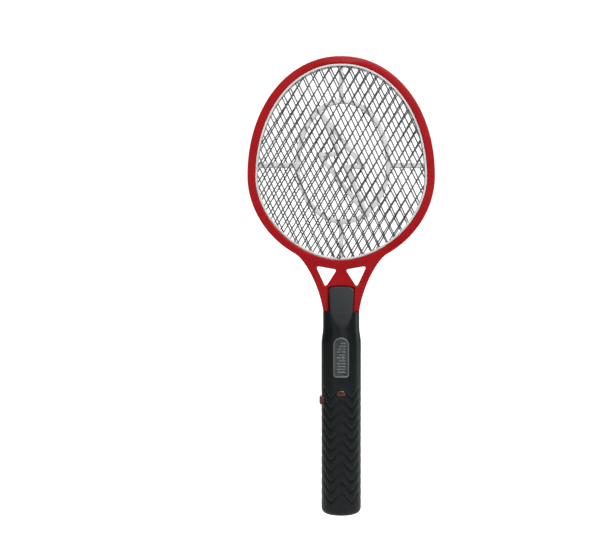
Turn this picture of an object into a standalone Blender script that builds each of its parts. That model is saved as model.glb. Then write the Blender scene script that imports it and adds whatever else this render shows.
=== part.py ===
"""Electric fly swatter: two charged metal grids in a red head on a black battery handle.

The racket stands on its handle. +Z runs up the racket, -Y is the front with the lamp and the
badge, and the push button is on the -X side. The origin is the middle of the handle's flat base.
"""
import math

import bmesh
import bpy
from mathutils import Matrix, Vector, geometry

MM = 0.001
GAP = 0.3 * MM                    # clearance kept between neighbouring pieces

# Head: egg-shaped outlines, each (half width, height of widest point, top, foot, upper power,
# lower power) of a superellipse.
HEAD = (96.9 * MM, 349.2 * MM, 473.2 * MM, 256.0 * MM, 2.07, 1.955)
OPENING = (88.9 * MM, 347.5 * MM, 465.3 * MM, 262.2 * MM, 2.06, 1.84)
BRACE_RING = (47.0 * MM, 359.0 * MM, 427.0 * MM, 301.8 * MM, 2.05, 1.9)
BRACE_RING_X = 1.8 * MM           # the brace ring sits a little to one side
FRAME_HALF_DEPTH = 6.0 * MM
FRAME_LIP = 1.5 * MM              # wall that holds each grid in from outside
FRAME_CHAMFER = 0.8 * MM
SEAT_MARGIN = 2.6 * MM            # how far the grid seat reaches behind the lip
HALVES_GAP = 0.15 * MM            # each half stops this far from the middle plane

# Throat: two arms and a hub join the ring to the handle.
THROAT_TOP = 268.0 * MM           # where the arms leave the egg outline
SHOULDER_HALF_WIDTH = 18.6 * MM
TENON_HALF_WIDTH = 12.5 * MM
TENON_FOOT = 191.0 * MM
WINDOW_CORNERS = ((26.5, 256.2), (4.5, 252.4), (16.2, 234.2))     # right window, mm
WINDOW_RADIUS = 1.7 * MM
CHANNEL_HALF = 3.0 * MM           # lead channel through the hub

# Grids: expanded metal, one diamond cell spanned by two strand vectors.
STRAND_A = Vector((4.54, -10.0)) * MM
STRAND_B = Vector((-5.99, -9.46)) * MM
STRAND_WIDTH = 1.2 * MM
SHEET = 0.6 * MM
CELLS_PER_HOLE = 2                # strands are drawn at this many times the sheet's own pitch
FRONT_NODE = Vector((1.4, 360.5)) * MM
REAR_NODE = Vector((5.3, 365.6)) * MM
REAR_TURN = math.radians(1.75)
TERMINAL = (2.4 * MM, 265.6 * MM)     # rivet on each grid: front at -X, rear at +X
TAB_SIZE = (4.4 * MM, 6.4 * MM)
RIVET = (2.0 * MM, 1.05 * MM, 0.7 * MM, 0.9 * MM)     # head, shank and hole radius, head depth
COVER_REACH = 2.3 * MM            # how far the pale covers reach in over the strand ends
COVER_DEPTH = (4.55 * MM, 5.55 * MM)

# Insulating spacer between the grids.
SPACER_HALF_DEPTH = 3.3 * MM
SPACER_RIM = 2.3 * MM             # rim seen inside the opening
RING_RIB = 4.6 * MM
SPOKE = 4.6 * MM
SPOKE_HEIGHT = 360.3 * MM         # middle of the two level spokes
BOLT_RIB = 4.2 * MM
BOLT = ((-21.1, 415.0), (22.6, 359.1), (5.5, 359.1), (26.8, 308.5), (-23.2, 371.5), (-3.0, 372.5))

# Handle: a turned body, a little flatter front to back, with a sloped flat on front and back.
HANDLE_RADIUS = 20.55 * MM
HANDLE_FLATTEN = 0.95
HANDLE_WALL = 2.2 * MM
BASE_ROUND = 6.5 * MM
TAPER = (176.0 * MM, 193.5 * MM)  # the body narrows to its neck between these heights
NECK_HALF_WIDTH = 18.85 * MM
SHOULDER_HEIGHT = 208.7 * MM
RIDGE_PITCH = 10.56 * MM
RIDGE_DEPTH = 0.6 * MM
RIDGE_FOOT = 17.0 * MM
RIDGES = 9
TONGUE_TOP = 235.0 * MM
TONGUE_FOOT = (11.5 * MM, 204.6 * MM)      # half width and height of its foot
TONGUE_HALF_WIDTH = 13.1 * MM
TONGUE_ARCH = 2.35 * MM           # how much lower the top is at its sides
TONGUE_CORNER = 2.4 * MM
TONGUE_EDGE = 7.4 * MM            # half depth of the tongue at its top
FACET_SLOPE = 0.247

# Controls on the handle.
BUTTON_HEIGHT = 117.5 * MM
BUTTON_SIZE = (13.6 * MM, 8.8 * MM)      # along Y and Z
BUTTON_MIDDLE_Y = -2.5 * MM
BUTTON_PROUD = 2.1 * MM
FLANGE_X = (-14.2 * MM, -13.0 * MM)
FLANGE_MARGIN = 1.0 * MM
LAMP_HEIGHT = 125.6 * MM
LAMP_SIZE = (9.5 * MM, 5.4 * MM)
BADGE = (7.95 * MM, 142.2 * MM, 182.9 * MM)      # half width, foot, top
BADGE_THICK = 1.2 * MM

# Power and electronics.
CELL_RADIUS = 7.25 * MM
CELL_LENGTH = 50.5 * MM
CELL_X = 7.5 * MM
CELL_FOOT = 8.6 * MM
PARTITION = (68.5 * MM, 70.0 * MM)
DOOR_HALF_WIDTH = 13.0 * MM
DOOR_TOP = 67.0 * MM
DOOR_INNER_Y = 12.6 * MM
DOOR_FOOT = (15.3 * MM, 8.0 * MM, 8.7 * MM)     # half width, inner y and top of its end piece
RAIL_WEB_X = (10.6 * MM, 12.2 * MM)
RAIL_REACH = 15.0 * MM
RAIL_Y = (8.2 * MM, 9.6 * MM)
RAIL_Z = (9.0 * MM, 59.0 * MM)
SNAP_TAB = (3.5 * MM, 14.8 * MM, 16.2 * MM, 72.0 * MM)      # half width, inner y, outer y, top
THUMB_GROOVES = (3, 58.0 * MM, 3.0 * MM)        # count, highest foot, pitch
BOARD = (11.0 * MM, 96.0 * MM, 166.0 * MM)      # half width, foot, top
BOARD_Y = (-3.0 * MM, -1.4 * MM)

# Screws: (x, z) in mm.
HANDLE_SCREWS = ((-12.6, 84.0), (12.6, 84.0), (-12.6, 176.0), (12.6, 176.0))
TONGUE_SCREWS = ((-8.0, 219.0), (8.0, 219.0))
BOARD_SCREWS = ((-7.6, 100.5), (7.6, 161.5))
RING_SCREW_ANGLES = (-44, 0, 46, 134, 180, 224)

COLOURS = {                       # base colour, roughness, metallic
    "red_plastic": ((0.30, 0.008, 0.012), 0.35, 0.0),
    "black_plastic": ((0.012, 0.013, 0.014), 0.42, 0.0),
    "grey_plastic": ((0.55, 0.55, 0.56), 0.5, 0.0),
    "grid_metal": ((0.16, 0.16, 0.16), 0.38, 0.9),
    "bright_metal": ((0.62, 0.61, 0.58), 0.3, 1.0),
    "button_plastic": ((0.10, 0.012, 0.010), 0.4, 0.0),
    "lamp_red": ((0.35, 0.02, 0.02), 0.15, 0.0),
    "board_green": ((0.02, 0.12, 0.04), 0.5, 0.0),
    "part_black": ((0.02, 0.02, 0.02), 0.5, 0.0),
    "copper": ((0.55, 0.25, 0.12), 0.35, 1.0),
    "film_brown": ((0.35, 0.08, 0.03), 0.4, 0.0),
    "cell_jacket": ((0.05, 0.10, 0.22), 0.35, 0.2),
}


# --- scene, materials and basic solids ---------------------------------------------------------

def clear_scene():
    for obj in list(bpy.data.objects):
        bpy.data.objects.remove(obj, do_unlink=True)


def new_collection(name):
    group = bpy.data.collections.new(name)
    bpy.context.scene.collection.children.link(group)
    return group


def make_material(name):
    colour, roughness, metallic = COLOURS[name]
    material = bpy.data.materials.new(name)
    material.use_nodes = True
    shader = material.node_tree.nodes["Principled BSDF"]
    shader.inputs["Base Color"].default_value = (*colour, 1.0)
    shader.inputs["Roughness"].default_value = roughness
    shader.inputs["Metallic"].default_value = metallic
    return material


clear_scene()
SWATTER = new_collection("fly_swatter")
CUTTERS = new_collection("cutters")
MATERIALS = {name: make_material(name) for name in COLOURS}


def solid(name, mesh, origin=(0, 0, 0)):
    """Put a mesh in the cutters' collection, with its own origin."""
    obj = bpy.data.objects.new(name, mesh)
    mesh.transform(Matrix.Translation(-Vector(origin)))
    obj.location = origin
    obj.hide_render = True
    obj.display_type = "WIRE"
    CUTTERS.objects.link(obj)
    return obj


def finish(obj, name, material, origin=(0, 0, 0)):
    """Turn a working solid into a finished sub-part of the swatter."""
    baked = baked_mesh(obj)
    baked.transform(Matrix.Translation(-Vector(origin)))
    part = bpy.data.objects.new(name, baked)
    part.location = origin
    baked.name = name
    baked.materials.clear()
    baked.materials.append(MATERIALS[material])
    baked.shade_smooth()
    baked.set_sharp_from_angle(angle=math.radians(35))
    SWATTER.objects.link(part)
    return part


def baked_mesh(obj):
    """The object's evaluated mesh in world space, welded, with its faces pointing out."""
    bpy.context.view_layer.update()
    depsgraph = bpy.context.evaluated_depsgraph_get()
    mesh = bpy.data.meshes.new_from_object(obj.evaluated_get(depsgraph))
    mesh.transform(obj.matrix_world)
    work = bmesh.new()
    work.from_mesh(mesh)
    bmesh.ops.remove_doubles(work, verts=work.verts, dist=0.00001)
    bmesh.ops.recalc_face_normals(work, faces=work.faces)
    work.to_mesh(mesh)
    work.free()
    return mesh


def replace_with_mesh(obj, matrix):
    """Swap a helper object for its welded mesh, laid out by the matrix."""
    mesh = baked_mesh(obj)
    mesh.transform(matrix)
    name = obj.name
    bpy.data.objects.remove(obj, do_unlink=True)
    return solid(name, mesh)


def combine(obj, operation, *others):
    """Boolean the other solids into obj, one after another."""
    for other in others:
        modifier = obj.modifiers.new(operation.lower(), "BOOLEAN")
        modifier.operation = operation
        modifier.solver = "EXACT"
        modifier.object = other
    return obj


def cut(obj, *others):
    return combine(obj, "DIFFERENCE", *others)


def join(obj, *others):
    return combine(obj, "UNION", *others)


def keep_inside(obj, other):
    return combine(obj, "INTERSECT", other)


def together(*others):
    """Separate solids gathered in one object, so that one Boolean can use them all."""
    work = bmesh.new()
    for other in others:
        work.from_mesh(baked_mesh(other))
    mesh = bpy.data.meshes.new("together")
    work.to_mesh(mesh)
    work.free()
    return solid("together", mesh)


def box(low, high):
    """A block between two corners, in metres."""
    low, high = Vector(low), Vector(high)
    mesh = bpy.data.meshes.new("box")
    work = bmesh.new()
    bmesh.ops.create_cube(work, size=1.0)
    bmesh.ops.scale(work, vec=high - low, verts=work.verts)
    bmesh.ops.translate(work, vec=(low + high) / 2, verts=work.verts)
    work.to_mesh(mesh)
    work.free()
    return solid("box", mesh)


# Where a solid's own axis points: flat outlines are drawn in the plane across it.
ALONG = {
    "X": Matrix(((0, 0, 1, 0), (1, 0, 0, 0), (0, 1, 0, 0), (0, 0, 0, 1))),      # (y, z) outline
    "Y": Matrix(((1, 0, 0, 0), (0, 0, -1, 0), (0, 1, 0, 0), (0, 0, 0, 1))),     # (x, z) outline
    "Z": Matrix.Identity(4),                                                    # (x, y) outline
}


def cylinder(centre, radius, low, high, axis="Y", sides=16, tip_radius=None):
    """A round bar or cone between two heights on an axis; centre is across that axis."""
    mesh = bpy.data.meshes.new("cylinder")
    work = bmesh.new()
    top = radius if tip_radius is None else tip_radius
    bmesh.ops.create_cone(work, cap_ends=True, segments=sides, radius1=radius, radius2=top,
                          depth=high - low)
    bmesh.ops.translate(work, vec=(centre[0], centre[1], (low + high) / 2), verts=work.verts)
    if axis == "Y":               # the outline's own axis runs towards -Y
        bmesh.ops.scale(work, vec=(1, 1, -1), verts=work.verts)
        bmesh.ops.reverse_faces(work, faces=work.faces)
    bmesh.ops.transform(work, matrix=ALONG[axis], verts=work.verts)
    work.to_mesh(mesh)
    work.free()
    return solid("cylinder", mesh)


def prism(outlines, low, high, axis="Y", chamfer=0.0):
    """Filled outlines (the first outside, the rest holes) between two heights on an axis."""
    curve = bpy.data.curves.new("prism", "CURVE")
    curve.dimensions = "2D"
    curve.fill_mode = "BOTH"
    curve.extrude = (high - low) / 2 - chamfer
    curve.bevel_depth = chamfer
    curve.bevel_resolution = 0
    curve.offset = -chamfer
    for outline in outlines:
        spline = curve.splines.new("POLY")
        spline.points.add(len(outline) - 1)
        for point, place in zip(spline.points, outline):
            point.co = (place[0], place[1], 0.0, 1.0)
        spline.use_cyclic_u = True
    obj = bpy.data.objects.new("prism", curve)
    CUTTERS.objects.link(obj)
    shift = (low + high) / 2
    middle = {"X": (shift, 0, 0), "Y": (0, shift, 0), "Z": (0, 0, shift)}[axis]
    return replace_with_mesh(obj, Matrix.Translation(middle) @ ALONG[axis])


def turned(profile, steps=24, flatten=1.0, matrix=Matrix.Identity(4)):
    """A profile of (radius, height) points, from the top down, turned about its axis."""
    mesh = bpy.data.meshes.new("turned")
    edges = [(i, i + 1) for i in range(len(profile) - 1)]
    mesh.from_pydata([(radius, 0, height) for radius, height in profile], edges, [])
    obj = bpy.data.objects.new("turned", mesh)
    CUTTERS.objects.link(obj)
    screw = obj.modifiers.new("turn", "SCREW")
    screw.steps = steps
    screw.render_steps = steps
    screw.use_merge_vertices = True
    screw.merge_threshold = 0.00001
    return replace_with_mesh(obj, matrix @ Matrix.Diagonal((1, flatten, 1, 1)))


def across(x, z):
    """Placement that turns a profile's height axis to point along +Y."""
    return Matrix.Translation((x, 0, z)) @ Matrix.Rotation(math.radians(-90), 4, "X")


def stepped_hole(x, z, radius, tip_y, head_radius, head_y, steps=10):
    """Cutter for a screw hole along Y, with a wider counterbore behind head_y."""
    far = 30 * MM
    profile = [(0, far), (head_radius, far), (head_radius, head_y), (radius, head_y),
               (radius, tip_y), (0, tip_y)]
    return turned(profile, steps=steps, matrix=across(x, z))


def wire(points, radius, bevel_resolution=1):
    """A round wire through the points, with filled ends."""
    curve = bpy.data.curves.new("wire", "CURVE")
    curve.dimensions = "3D"
    curve.bevel_depth = radius
    curve.bevel_resolution = bevel_resolution
    curve.use_fill_caps = True
    spline = curve.splines.new("POLY")
    spline.points.add(len(points) - 1)
    for point, place in zip(spline.points, points):
        point.co = (*place, 1.0)
    obj = bpy.data.objects.new("wire", curve)
    CUTTERS.objects.link(obj)
    return replace_with_mesh(obj, Matrix.Identity(4))


def smooth_route(stops, count):
    """Points along one smooth curve through the stops (Catmull-Rom)."""
    stops = [Vector(stop) * MM for stop in stops]
    route = []
    for index in range(len(stops) - 1):
        start, end = stops[index], stops[index + 1]
        before = stops[max(index - 1, 0)]
        after = stops[min(index + 2, len(stops) - 1)]
        handle_out = start + (end - before) / 6
        handle_in = end - (after - start) / 6
        piece = geometry.interpolate_bezier(start, handle_out, handle_in, end, count + 1)
        route.extend(piece[:-1])
    return route + [stops[-1]]


def coil(axis_point, axis, radii, length, turns, per_turn=8):
    """Points along a spring; radii are those at its start and its end."""
    axis = Vector(axis)
    side = axis.orthogonal().normalized()
    other = axis.cross(side)
    points = []
    steps = int(turns * per_turn)
    for step in range(steps + 1):
        share = step / steps
        angle = 2 * math.pi * turns * share
        radius = radii[0] + (radii[1] - radii[0]) * share
        arm = side * math.cos(angle) + other * math.sin(angle)
        points.append(Vector(axis_point) + axis * length * share + arm * radius)
    return points


# --- outlines ----------------------------------------------------------------------------------

def egg(shape, offset=0.0, count=48, start=0.0, end=360.0, closed=True):
    """Points round an egg outline from its +X side, moved outwards by the offset."""
    half_width, widest, top, foot, upper_power, lower_power = shape

    def place(angle):
        sine, cosine = math.sin(angle), math.cos(angle)
        power = upper_power if sine >= 0 else lower_power
        reach = (top - widest) if sine >= 0 else (widest - foot)
        x = half_width * math.copysign(abs(cosine) ** (2 / power), cosine)
        return Vector((x, widest + reach * math.copysign(abs(sine) ** (2 / power), sine)))

    points = []
    for step in range(count if closed else count + 1):
        angle = math.radians(start + (end - start) * step / count)
        along = place(angle + 0.01) - place(angle - 0.01)
        outward = Vector((along.y, -along.x)).normalized()
        points.append(place(angle) + outward * offset)
    return points


def rounded(corners, radius, steps=4):
    """A closed outline with each corner replaced by an arc of the radius."""
    outline = []
    for index, corner in enumerate(corners):
        corner = Vector(corner)
        to_last = (Vector(corners[index - 1]) - corner).normalized()
        to_next = (Vector(corners[(index + 1) % len(corners)]) - corner).normalized()
        half = to_last.angle(to_next) / 2
        reach = radius / math.tan(half)
        centre = corner + (to_last + to_next).normalized() * radius / math.sin(half)
        start = corner + to_last * reach - centre
        turn = start.angle_signed(corner + to_next * reach - centre)
        for step in range(steps + 1):
            arm = start.copy()
            arm.rotate(Matrix.Rotation(-turn * step / steps, 2))
            outline.append(centre + arm)
    return outline


def rectangle(centre, size, radius, steps=4):
    x, z = centre
    w, h = size[0] / 2, size[1] / 2
    return rounded([(x - w, z - h), (x + w, z - h), (x + w, z + h), (x - w, z + h)], radius, steps)


def clipped(polygon, boundary):
    """The part of a convex polygon inside a convex boundary that runs anticlockwise."""
    for index, start in enumerate(boundary):
        along = boundary[(index + 1) % len(boundary)] - start
        depth = [along.cross(point - start) for point in polygon]
        kept = []
        for here, point in enumerate(polygon):
            before = polygon[here - 1]
            if (depth[here] >= 0) != (depth[here - 1] >= 0):
                share = depth[here - 1] / (depth[here - 1] - depth[here])
                kept.append(before.lerp(point, share))
            if depth[here] >= 0:
                kept.append(point)
        polygon = kept
        if len(polygon) < 3:
            return []
    return polygon


def area(polygon):
    return sum(polygon[i - 1].cross(polygon[i]) for i in range(len(polygon))) / 2


# --- head --------------------------------------------------------------------------------------

def frame_outline():
    """Outline of the red frame: egg ring, arms down to the shoulder, and the tenon."""
    right = [point for point in egg(HEAD, count=30, start=-90, end=90, closed=False)
             if point.y > THROAT_TOP and point.x > 0.0001 or point.y > HEAD[1]]
    leave = right[0]
    slope = (right[1] - right[0]).normalized()
    foot = Vector((SHOULDER_HALF_WIDTH, SHOULDER_HEIGHT + GAP))
    arm = geometry.interpolate_bezier(foot.to_3d(), (foot + Vector((3.4, 26.0)) * MM).to_3d(),
                                      (leave - slope * 12 * MM).to_3d(), leave.to_3d(), 9)
    side = [Vector((TENON_HALF_WIDTH, TENON_FOOT)), Vector((TENON_HALF_WIDTH, foot.y + GAP))]
    side += [point.to_2d() for point in arm[:-1]] + right[:-1]
    left = [Vector((-point.x, point.y)) for point in reversed(side)]
    return side + [right[-1]] + left


def throat_window(side):
    return rounded([(side * x * MM, z * MM) for x, z in WINDOW_CORNERS], WINDOW_RADIUS)


def ring_screw_places():
    """Screw centres round the ring, inside its solid outer wall."""
    places = []
    for angle in RING_SCREW_ANGLES:
        x, z = egg(HEAD, offset=-3.35 * MM, count=1, start=angle, closed=True)[0]
        places.append((x, z))
    return places


def frame_half(side):
    """Front (-1) or rear (+1) half of the frame, with its grid seat, lead channel and holes."""
    outlines = [frame_outline(), egg(OPENING, count=48), throat_window(1), throat_window(-1)]
    frame = prism(outlines, -FRAME_HALF_DEPTH, FRAME_HALF_DEPTH, chamfer=FRAME_CHAMFER)
    keep_inside(frame, half_space(side))
    depth = FRAME_HALF_DEPTH - FRAME_LIP
    seat = prism([egg(OPENING, SEAT_MARGIN)], -depth, depth)
    join(seat, box((-CHANNEL_HALF, -CHANNEL_HALF, TENON_FOOT - MM),
                   (CHANNEL_HALF, CHANNEL_HALF, OPENING[3] - MM)))
    holes = [stepped_hole(x, z, 1.2 * MM, -3.2 * MM, 2.0 * MM, 4.3 * MM)
             for x, z in ring_screw_places()]
    holes += [cylinder((x * MM, z * MM), 1.5 * MM, -8 * MM, 8 * MM, sides=12)
              for x, z in TONGUE_SCREWS]
    return cut(frame, seat, together(*holes))


def half_space(side):
    """A block that covers everything in front of (-1) or behind (+1) the middle plane."""
    near, far = side * HALVES_GAP, side * 60 * MM
    return box((-120 * MM, min(near, far), -20 * MM), (120 * MM, max(near, far), 500 * MM))


def build_frames():
    for name, side in (("frame_front", -1), ("frame_rear", 1)):
        finish(frame_half(side), name, "red_plastic")


def diamond_holes(node, turn, boundary):
    """Holes of one grid: the lattice cells, less the strands, inside the boundary."""
    spin = Matrix.Rotation(turn, 2)
    step_a = spin @ STRAND_A * CELLS_PER_HOLE
    step_b = spin @ STRAND_B * CELLS_PER_HOLE
    inset_a = STRAND_WIDTH / 2 / (abs(step_a.cross(step_b)) / step_b.length)
    inset_b = STRAND_WIDTH / 2 / (abs(step_a.cross(step_b)) / step_a.length)
    reach = 24 // CELLS_PER_HOLE
    holes = []
    for i in range(-reach, reach):
        for j in range(-reach, reach):
            low_a, high_a = i + inset_a, i + 1 - inset_a
            low_b, high_b = j + inset_b, j + 1 - inset_b
            corners = ((low_a, low_b), (low_a, high_b), (high_a, high_b), (high_a, low_b))
            cell = [node + step_a * a + step_b * b for a, b in corners]
            if area(cell) < 0:
                cell.reverse()
            hole = clipped(cell, boundary)
            if hole and area(hole) > 4 * MM * MM:
                holes.append(hole)
    return holes


def build_grid(name, side, node, turn):
    """One expanded-metal grid with its border strip, terminal tab and hollow rivet."""
    near = side * (SPACER_HALF_DEPTH + GAP)
    low, high = sorted((near, near + side * SHEET))
    holes = diamond_holes(node, turn, egg(OPENING, 0.6 * MM, count=48))
    grid = prism([egg(OPENING, SEAT_MARGIN - GAP, count=48)] + holes, low, high)
    place = (side * TERMINAL[0], TERMINAL[1])
    skin = 0.05 * MM
    tab = rectangle((place[0], place[1] - 1.4 * MM), TAB_SIZE, 2.1 * MM, steps=3)
    join(grid, prism([tab], low - skin, high + skin))
    head_radius, shank_radius, hole_radius, head_depth = RIVET
    cut(grid, cylinder(place, shank_radius + GAP, low - MM, high + MM, sides=12))
    finish(grid, name, "grid_metal")

    outer = near + side * (SHEET + GAP)
    head = sorted((outer, outer + side * head_depth))
    shank = sorted((near - side * 0.1 * MM, outer + side * 0.1 * MM))
    rivet = cylinder(place, head_radius, *head, sides=16)
    join(rivet, cylinder(place, shank_radius, *shank, sides=12))
    cut(rivet, cylinder(place, hole_radius, -10 * MM, 10 * MM, sides=12))
    finish(rivet, name.replace("grid_", "grid_rivet_"), "bright_metal")


def build_rim_cover(name, side):
    """Pale ring over the strand ends of the front (-1) or rear (+1) grid."""
    low, high = sorted((side * COVER_DEPTH[0], side * COVER_DEPTH[1]))
    cover = prism([egg(OPENING, -GAP, count=48), egg(OPENING, -COVER_REACH, count=48)], low, high)
    notch = cylinder((side * TERMINAL[0], TERMINAL[1]), RIVET[0] + GAP, low - MM, high + MM)
    cut(cover, notch)
    finish(cover, name, "grey_plastic")


def build_spacer():
    """Insulating spacer: rim, inner ring, four spokes and the bolt-shaped brace, in one piece."""
    depth = SPACER_HALF_DEPTH
    step = 0.1 * MM               # each crossing rib is a little shallower than the last
    rim = [egg(OPENING, SEAT_MARGIN - GAP, count=48), egg(OPENING, -SPACER_RIM, count=48)]
    spacer = prism(rim, -depth, depth)
    ring = [[point + Vector((BRACE_RING_X, 0)) for point in egg(BRACE_RING, offset, count=32)]
            for offset in (RING_RIB / 2, -RING_RIB / 2)]
    depth -= step
    join(spacer, prism(ring, -depth, depth))
    half_width, widest, top, foot = BRACE_RING[:4]
    depth -= step
    middle = SPOKE / 2
    spokes = (
        ((-middle, -depth, top), (middle, depth, OPENING[2] - MM)),
        ((-middle, -depth, OPENING[3] + MM), (middle, depth, foot)),
        ((half_width, -depth, SPOKE_HEIGHT - middle),
         (OPENING[0] - MM, depth, SPOKE_HEIGHT + middle)),
        ((MM - OPENING[0], -depth, SPOKE_HEIGHT - middle),
         (-half_width + 2 * MM, depth, SPOKE_HEIGHT + middle)),
    )
    join(spacer, together(*[box(low, high) for low, high in spokes]))
    bars = bolt_bars()
    for chosen in (bars[0::2], bars[1::2]):       # neighbours meet, so they join in two sets
        depth -= step
        join(spacer, together(*[prism([bar], -depth, depth) for bar in chosen]))
    for side in (-1, 1):          # grooves that pass the leads to the terminals
        low, high = sorted((side * 1.2 * MM, side * 4 * MM))
        x = side * TERMINAL[0]
        cut(spacer, box((x - 1.1 * MM, low, OPENING[3] - 4 * MM),
                        (x + 1.1 * MM, high, OPENING[3] + 5 * MM)))
    finish(spacer, "grid_spacer", "grey_plastic")


def bolt_bars():
    """Outlines of the bolt's straight bars, each carried half its width past its corners."""
    corners = [Vector(corner) * MM for corner in BOLT]
    bars = []
    for index, start in enumerate(corners):
        end = corners[(index + 1) % len(corners)]
        along = (end - start).normalized() * BOLT_RIB / 2
        sideways = Vector((along.y, -along.x))
        bars.append([start - along - sideways, start - along + sideways,
                     end + along + sideways, end + along - sideways])
    return bars


def build_leads():
    """High-voltage leads from the board through the hub to the rivets."""
    for name, side, material in (("lead_front_grid", -1, "part_black"),
                                 ("lead_rear_grid", 1, "lamp_red")):
        stops = [(side * 4.0, -0.3, 165.0), (side * 3.2, 0.8, 175.0), (side * 1.5, side * 1.3, 188.0),
                 (side * 1.5, side * 1.5, 206.0), (side * 1.5, side * 1.5, 230.0),
                 (side * 1.6, side * 1.6, 250.0), (side * 2.0, side * 2.0, 257.0),
                 (side * 2.1, side * 2.3, 264.0)]
        finish(wire(smooth_route(stops, 2), 0.6 * MM), name, material)


# --- screws ------------------------------------------------------------------------------------

def build_screw(name, x, z, head_y, head_depth, tip_y, head_radius, shank_radius):
    """A pan-head screw driven in from behind, with a square recess in its head."""
    top = head_y + head_depth
    profile = [(0, top), (head_radius, top), (head_radius, head_y), (shank_radius, head_y),
               (shank_radius, tip_y), (0, tip_y)]
    screw = turned(profile, steps=10, matrix=across(x, z))
    recess = cylinder((x, z), head_radius * 0.45, top - head_depth * 0.5, top + MM, sides=4)
    finish(cut(screw, recess), name, "bright_metal")


def build_screws():
    for index, (x, z) in enumerate(ring_screw_places(), 1):
        build_screw(f"ring_screw_{index}", x, z, 4.6 * MM, 1.1 * MM, -2.8 * MM, 1.7 * MM, 0.9 * MM)
    for index, (x, z) in enumerate(TONGUE_SCREWS, 1):
        build_screw(f"tongue_screw_{index}", x * MM, z * MM, 8.9 * MM, 1.5 * MM, -9.4 * MM,
                    2.1 * MM, 1.2 * MM)
    for index, (x, z) in enumerate(HANDLE_SCREWS, 1):
        build_screw(f"handle_screw_{index}", x * MM, z * MM, 8.3 * MM, 1.6 * MM, -7.6 * MM,
                    2.3 * MM, 1.3 * MM)
    for index, (x, z) in enumerate(BOARD_SCREWS, 1):
        build_screw(f"board_screw_{index}", x * MM, z * MM, BOARD_Y[1] + GAP, 1.2 * MM, -9.0 * MM,
                    1.8 * MM, 1.0 * MM)


# --- handle ------------------------------------------------------------------------------------

def handle_profile(inset, foot, top, ridges):
    """Half section of the handle from its top down, inset from the outer surface."""
    radius = HANDLE_RADIUS - inset
    neck = NECK_HALF_WIDTH - inset
    profile = [(0, top), (SHOULDER_HALF_WIDTH - inset, top)]
    for step in range(4, 0, -1):
        share = step / 4
        ease = (1 - math.cos(math.pi * share)) / 2
        profile.append((radius + (neck - radius) * ease, TAPER[0] + (TAPER[1] - TAPER[0]) * share))
    profile.append((radius, TAPER[0]))
    if ridges:
        for ridge in range(RIDGES, -1, -1):
            notch = RIDGE_FOOT + RIDGE_PITCH * ridge
            profile.append((radius - RIDGE_DEPTH, notch))
            if ridge:
                profile.append((radius, notch - RIDGE_PITCH * 0.5))
    for step in range(4):
        angle = math.radians(90 * step / 3)
        round_radius = BASE_ROUND
        profile.append((radius - round_radius * (1 - math.cos(angle)),
                        foot + round_radius * (1 - math.sin(angle))))
    profile.append((0, foot))
    return profile


def facet_cutter(side, inset):
    """Wedge in front of (-1) or behind (+1) the sloped flat, which is inset inwards."""
    def depth(z):
        return TONGUE_EDGE + (TONGUE_TOP - z) * FACET_SLOPE - inset
    low, high = 150 * MM, 260 * MM
    wedge = [(side * depth(low), low), (side * 60 * MM, low), (side * 60 * MM, high),
             (side * depth(high), high)]
    return prism([wedge], -40 * MM, 40 * MM, axis="X")


def tongue_outline():
    """Tongue between the arms: sides that lean in and a gently arched top, corners rounded."""
    arch = [(TONGUE_HALF_WIDTH * share, TONGUE_TOP - TONGUE_ARCH * share * share)
            for share in (1.0, 0.5, 0.0, -0.5, -1.0)]
    foot = [(side * TONGUE_FOOT[0], TONGUE_FOOT[1]) for side in (-1, 1)]
    return rounded(foot + arch, TONGUE_CORNER, steps=3)


def handle_outer():
    """The handle's outer form: turned body and tongue, with both sloped flats cut."""
    body = turned(handle_profile(0, 0, SHOULDER_HEIGHT, ridges=True), flatten=HANDLE_FLATTEN)
    join(body, prism([tongue_outline()], -20 * MM, 20 * MM))
    return cut(body, facet_cutter(-1, 0), facet_cutter(1, 0))


def handle_cavity():
    """The hollow inside the handle; whatever is cut from it stays as ribs and bosses."""
    profile = handle_profile(HANDLE_WALL, HANDLE_WALL, SHOULDER_HEIGHT - HANDLE_WALL, ridges=False)
    cavity = turned(profile, flatten=HANDLE_FLATTEN * 0.99)
    cut(cavity, facet_cutter(-1, HANDLE_WALL), facet_cutter(1, HANDLE_WALL))
    fittings = [cylinder((x * MM, z * MM), 3.2 * MM, -25 * MM, 25 * MM, sides=12)
                for x, z in HANDLE_SCREWS]
    fittings += [cylinder((x * MM, z * MM), 2.4 * MM, -25 * MM, BOARD_Y[0] - GAP, sides=12)
                 for x, z in BOARD_SCREWS]
    fittings.append(box((-25 * MM, -25 * MM, PARTITION[0]), (25 * MM, 0, PARTITION[1])))
    for foot in (18 * MM, 46 * MM):
        rib = box((-25 * MM, -25 * MM, foot), (25 * MM, -2.5 * MM, foot + 1.6 * MM))
        beds = [cylinder((side * CELL_X, 0), CELL_RADIUS + 2 * GAP, foot - MM, foot + 3 * MM,
                         axis="Z", sides=16) for side in (-1, 1)]
        fittings.append(cut(rib, *beds))
    return cut(cavity, together(*fittings))


def button_outline(margin):
    size = (BUTTON_SIZE[0] + 2 * margin, BUTTON_SIZE[1] + 2 * margin)
    return rectangle((BUTTON_MIDDLE_Y, BUTTON_HEIGHT), size, 3.4 * MM + margin)


def badge_outline(margin):
    """Badge shape: a full round top and small round corners at the foot."""
    half_width, foot, top = BADGE
    half_width += margin
    crown = [(half_width * math.cos(math.radians(angle)),
              top - BADGE[0] + half_width * math.sin(math.radians(angle)))
             for angle in range(0, 181, 20)]
    corner = rounded([(-half_width, foot - margin), (half_width, foot - margin), (half_width, top),
                      (-half_width, top)], 3 * MM, steps=3)[:8]
    return [Vector(point) for point in crown] + corner


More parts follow.
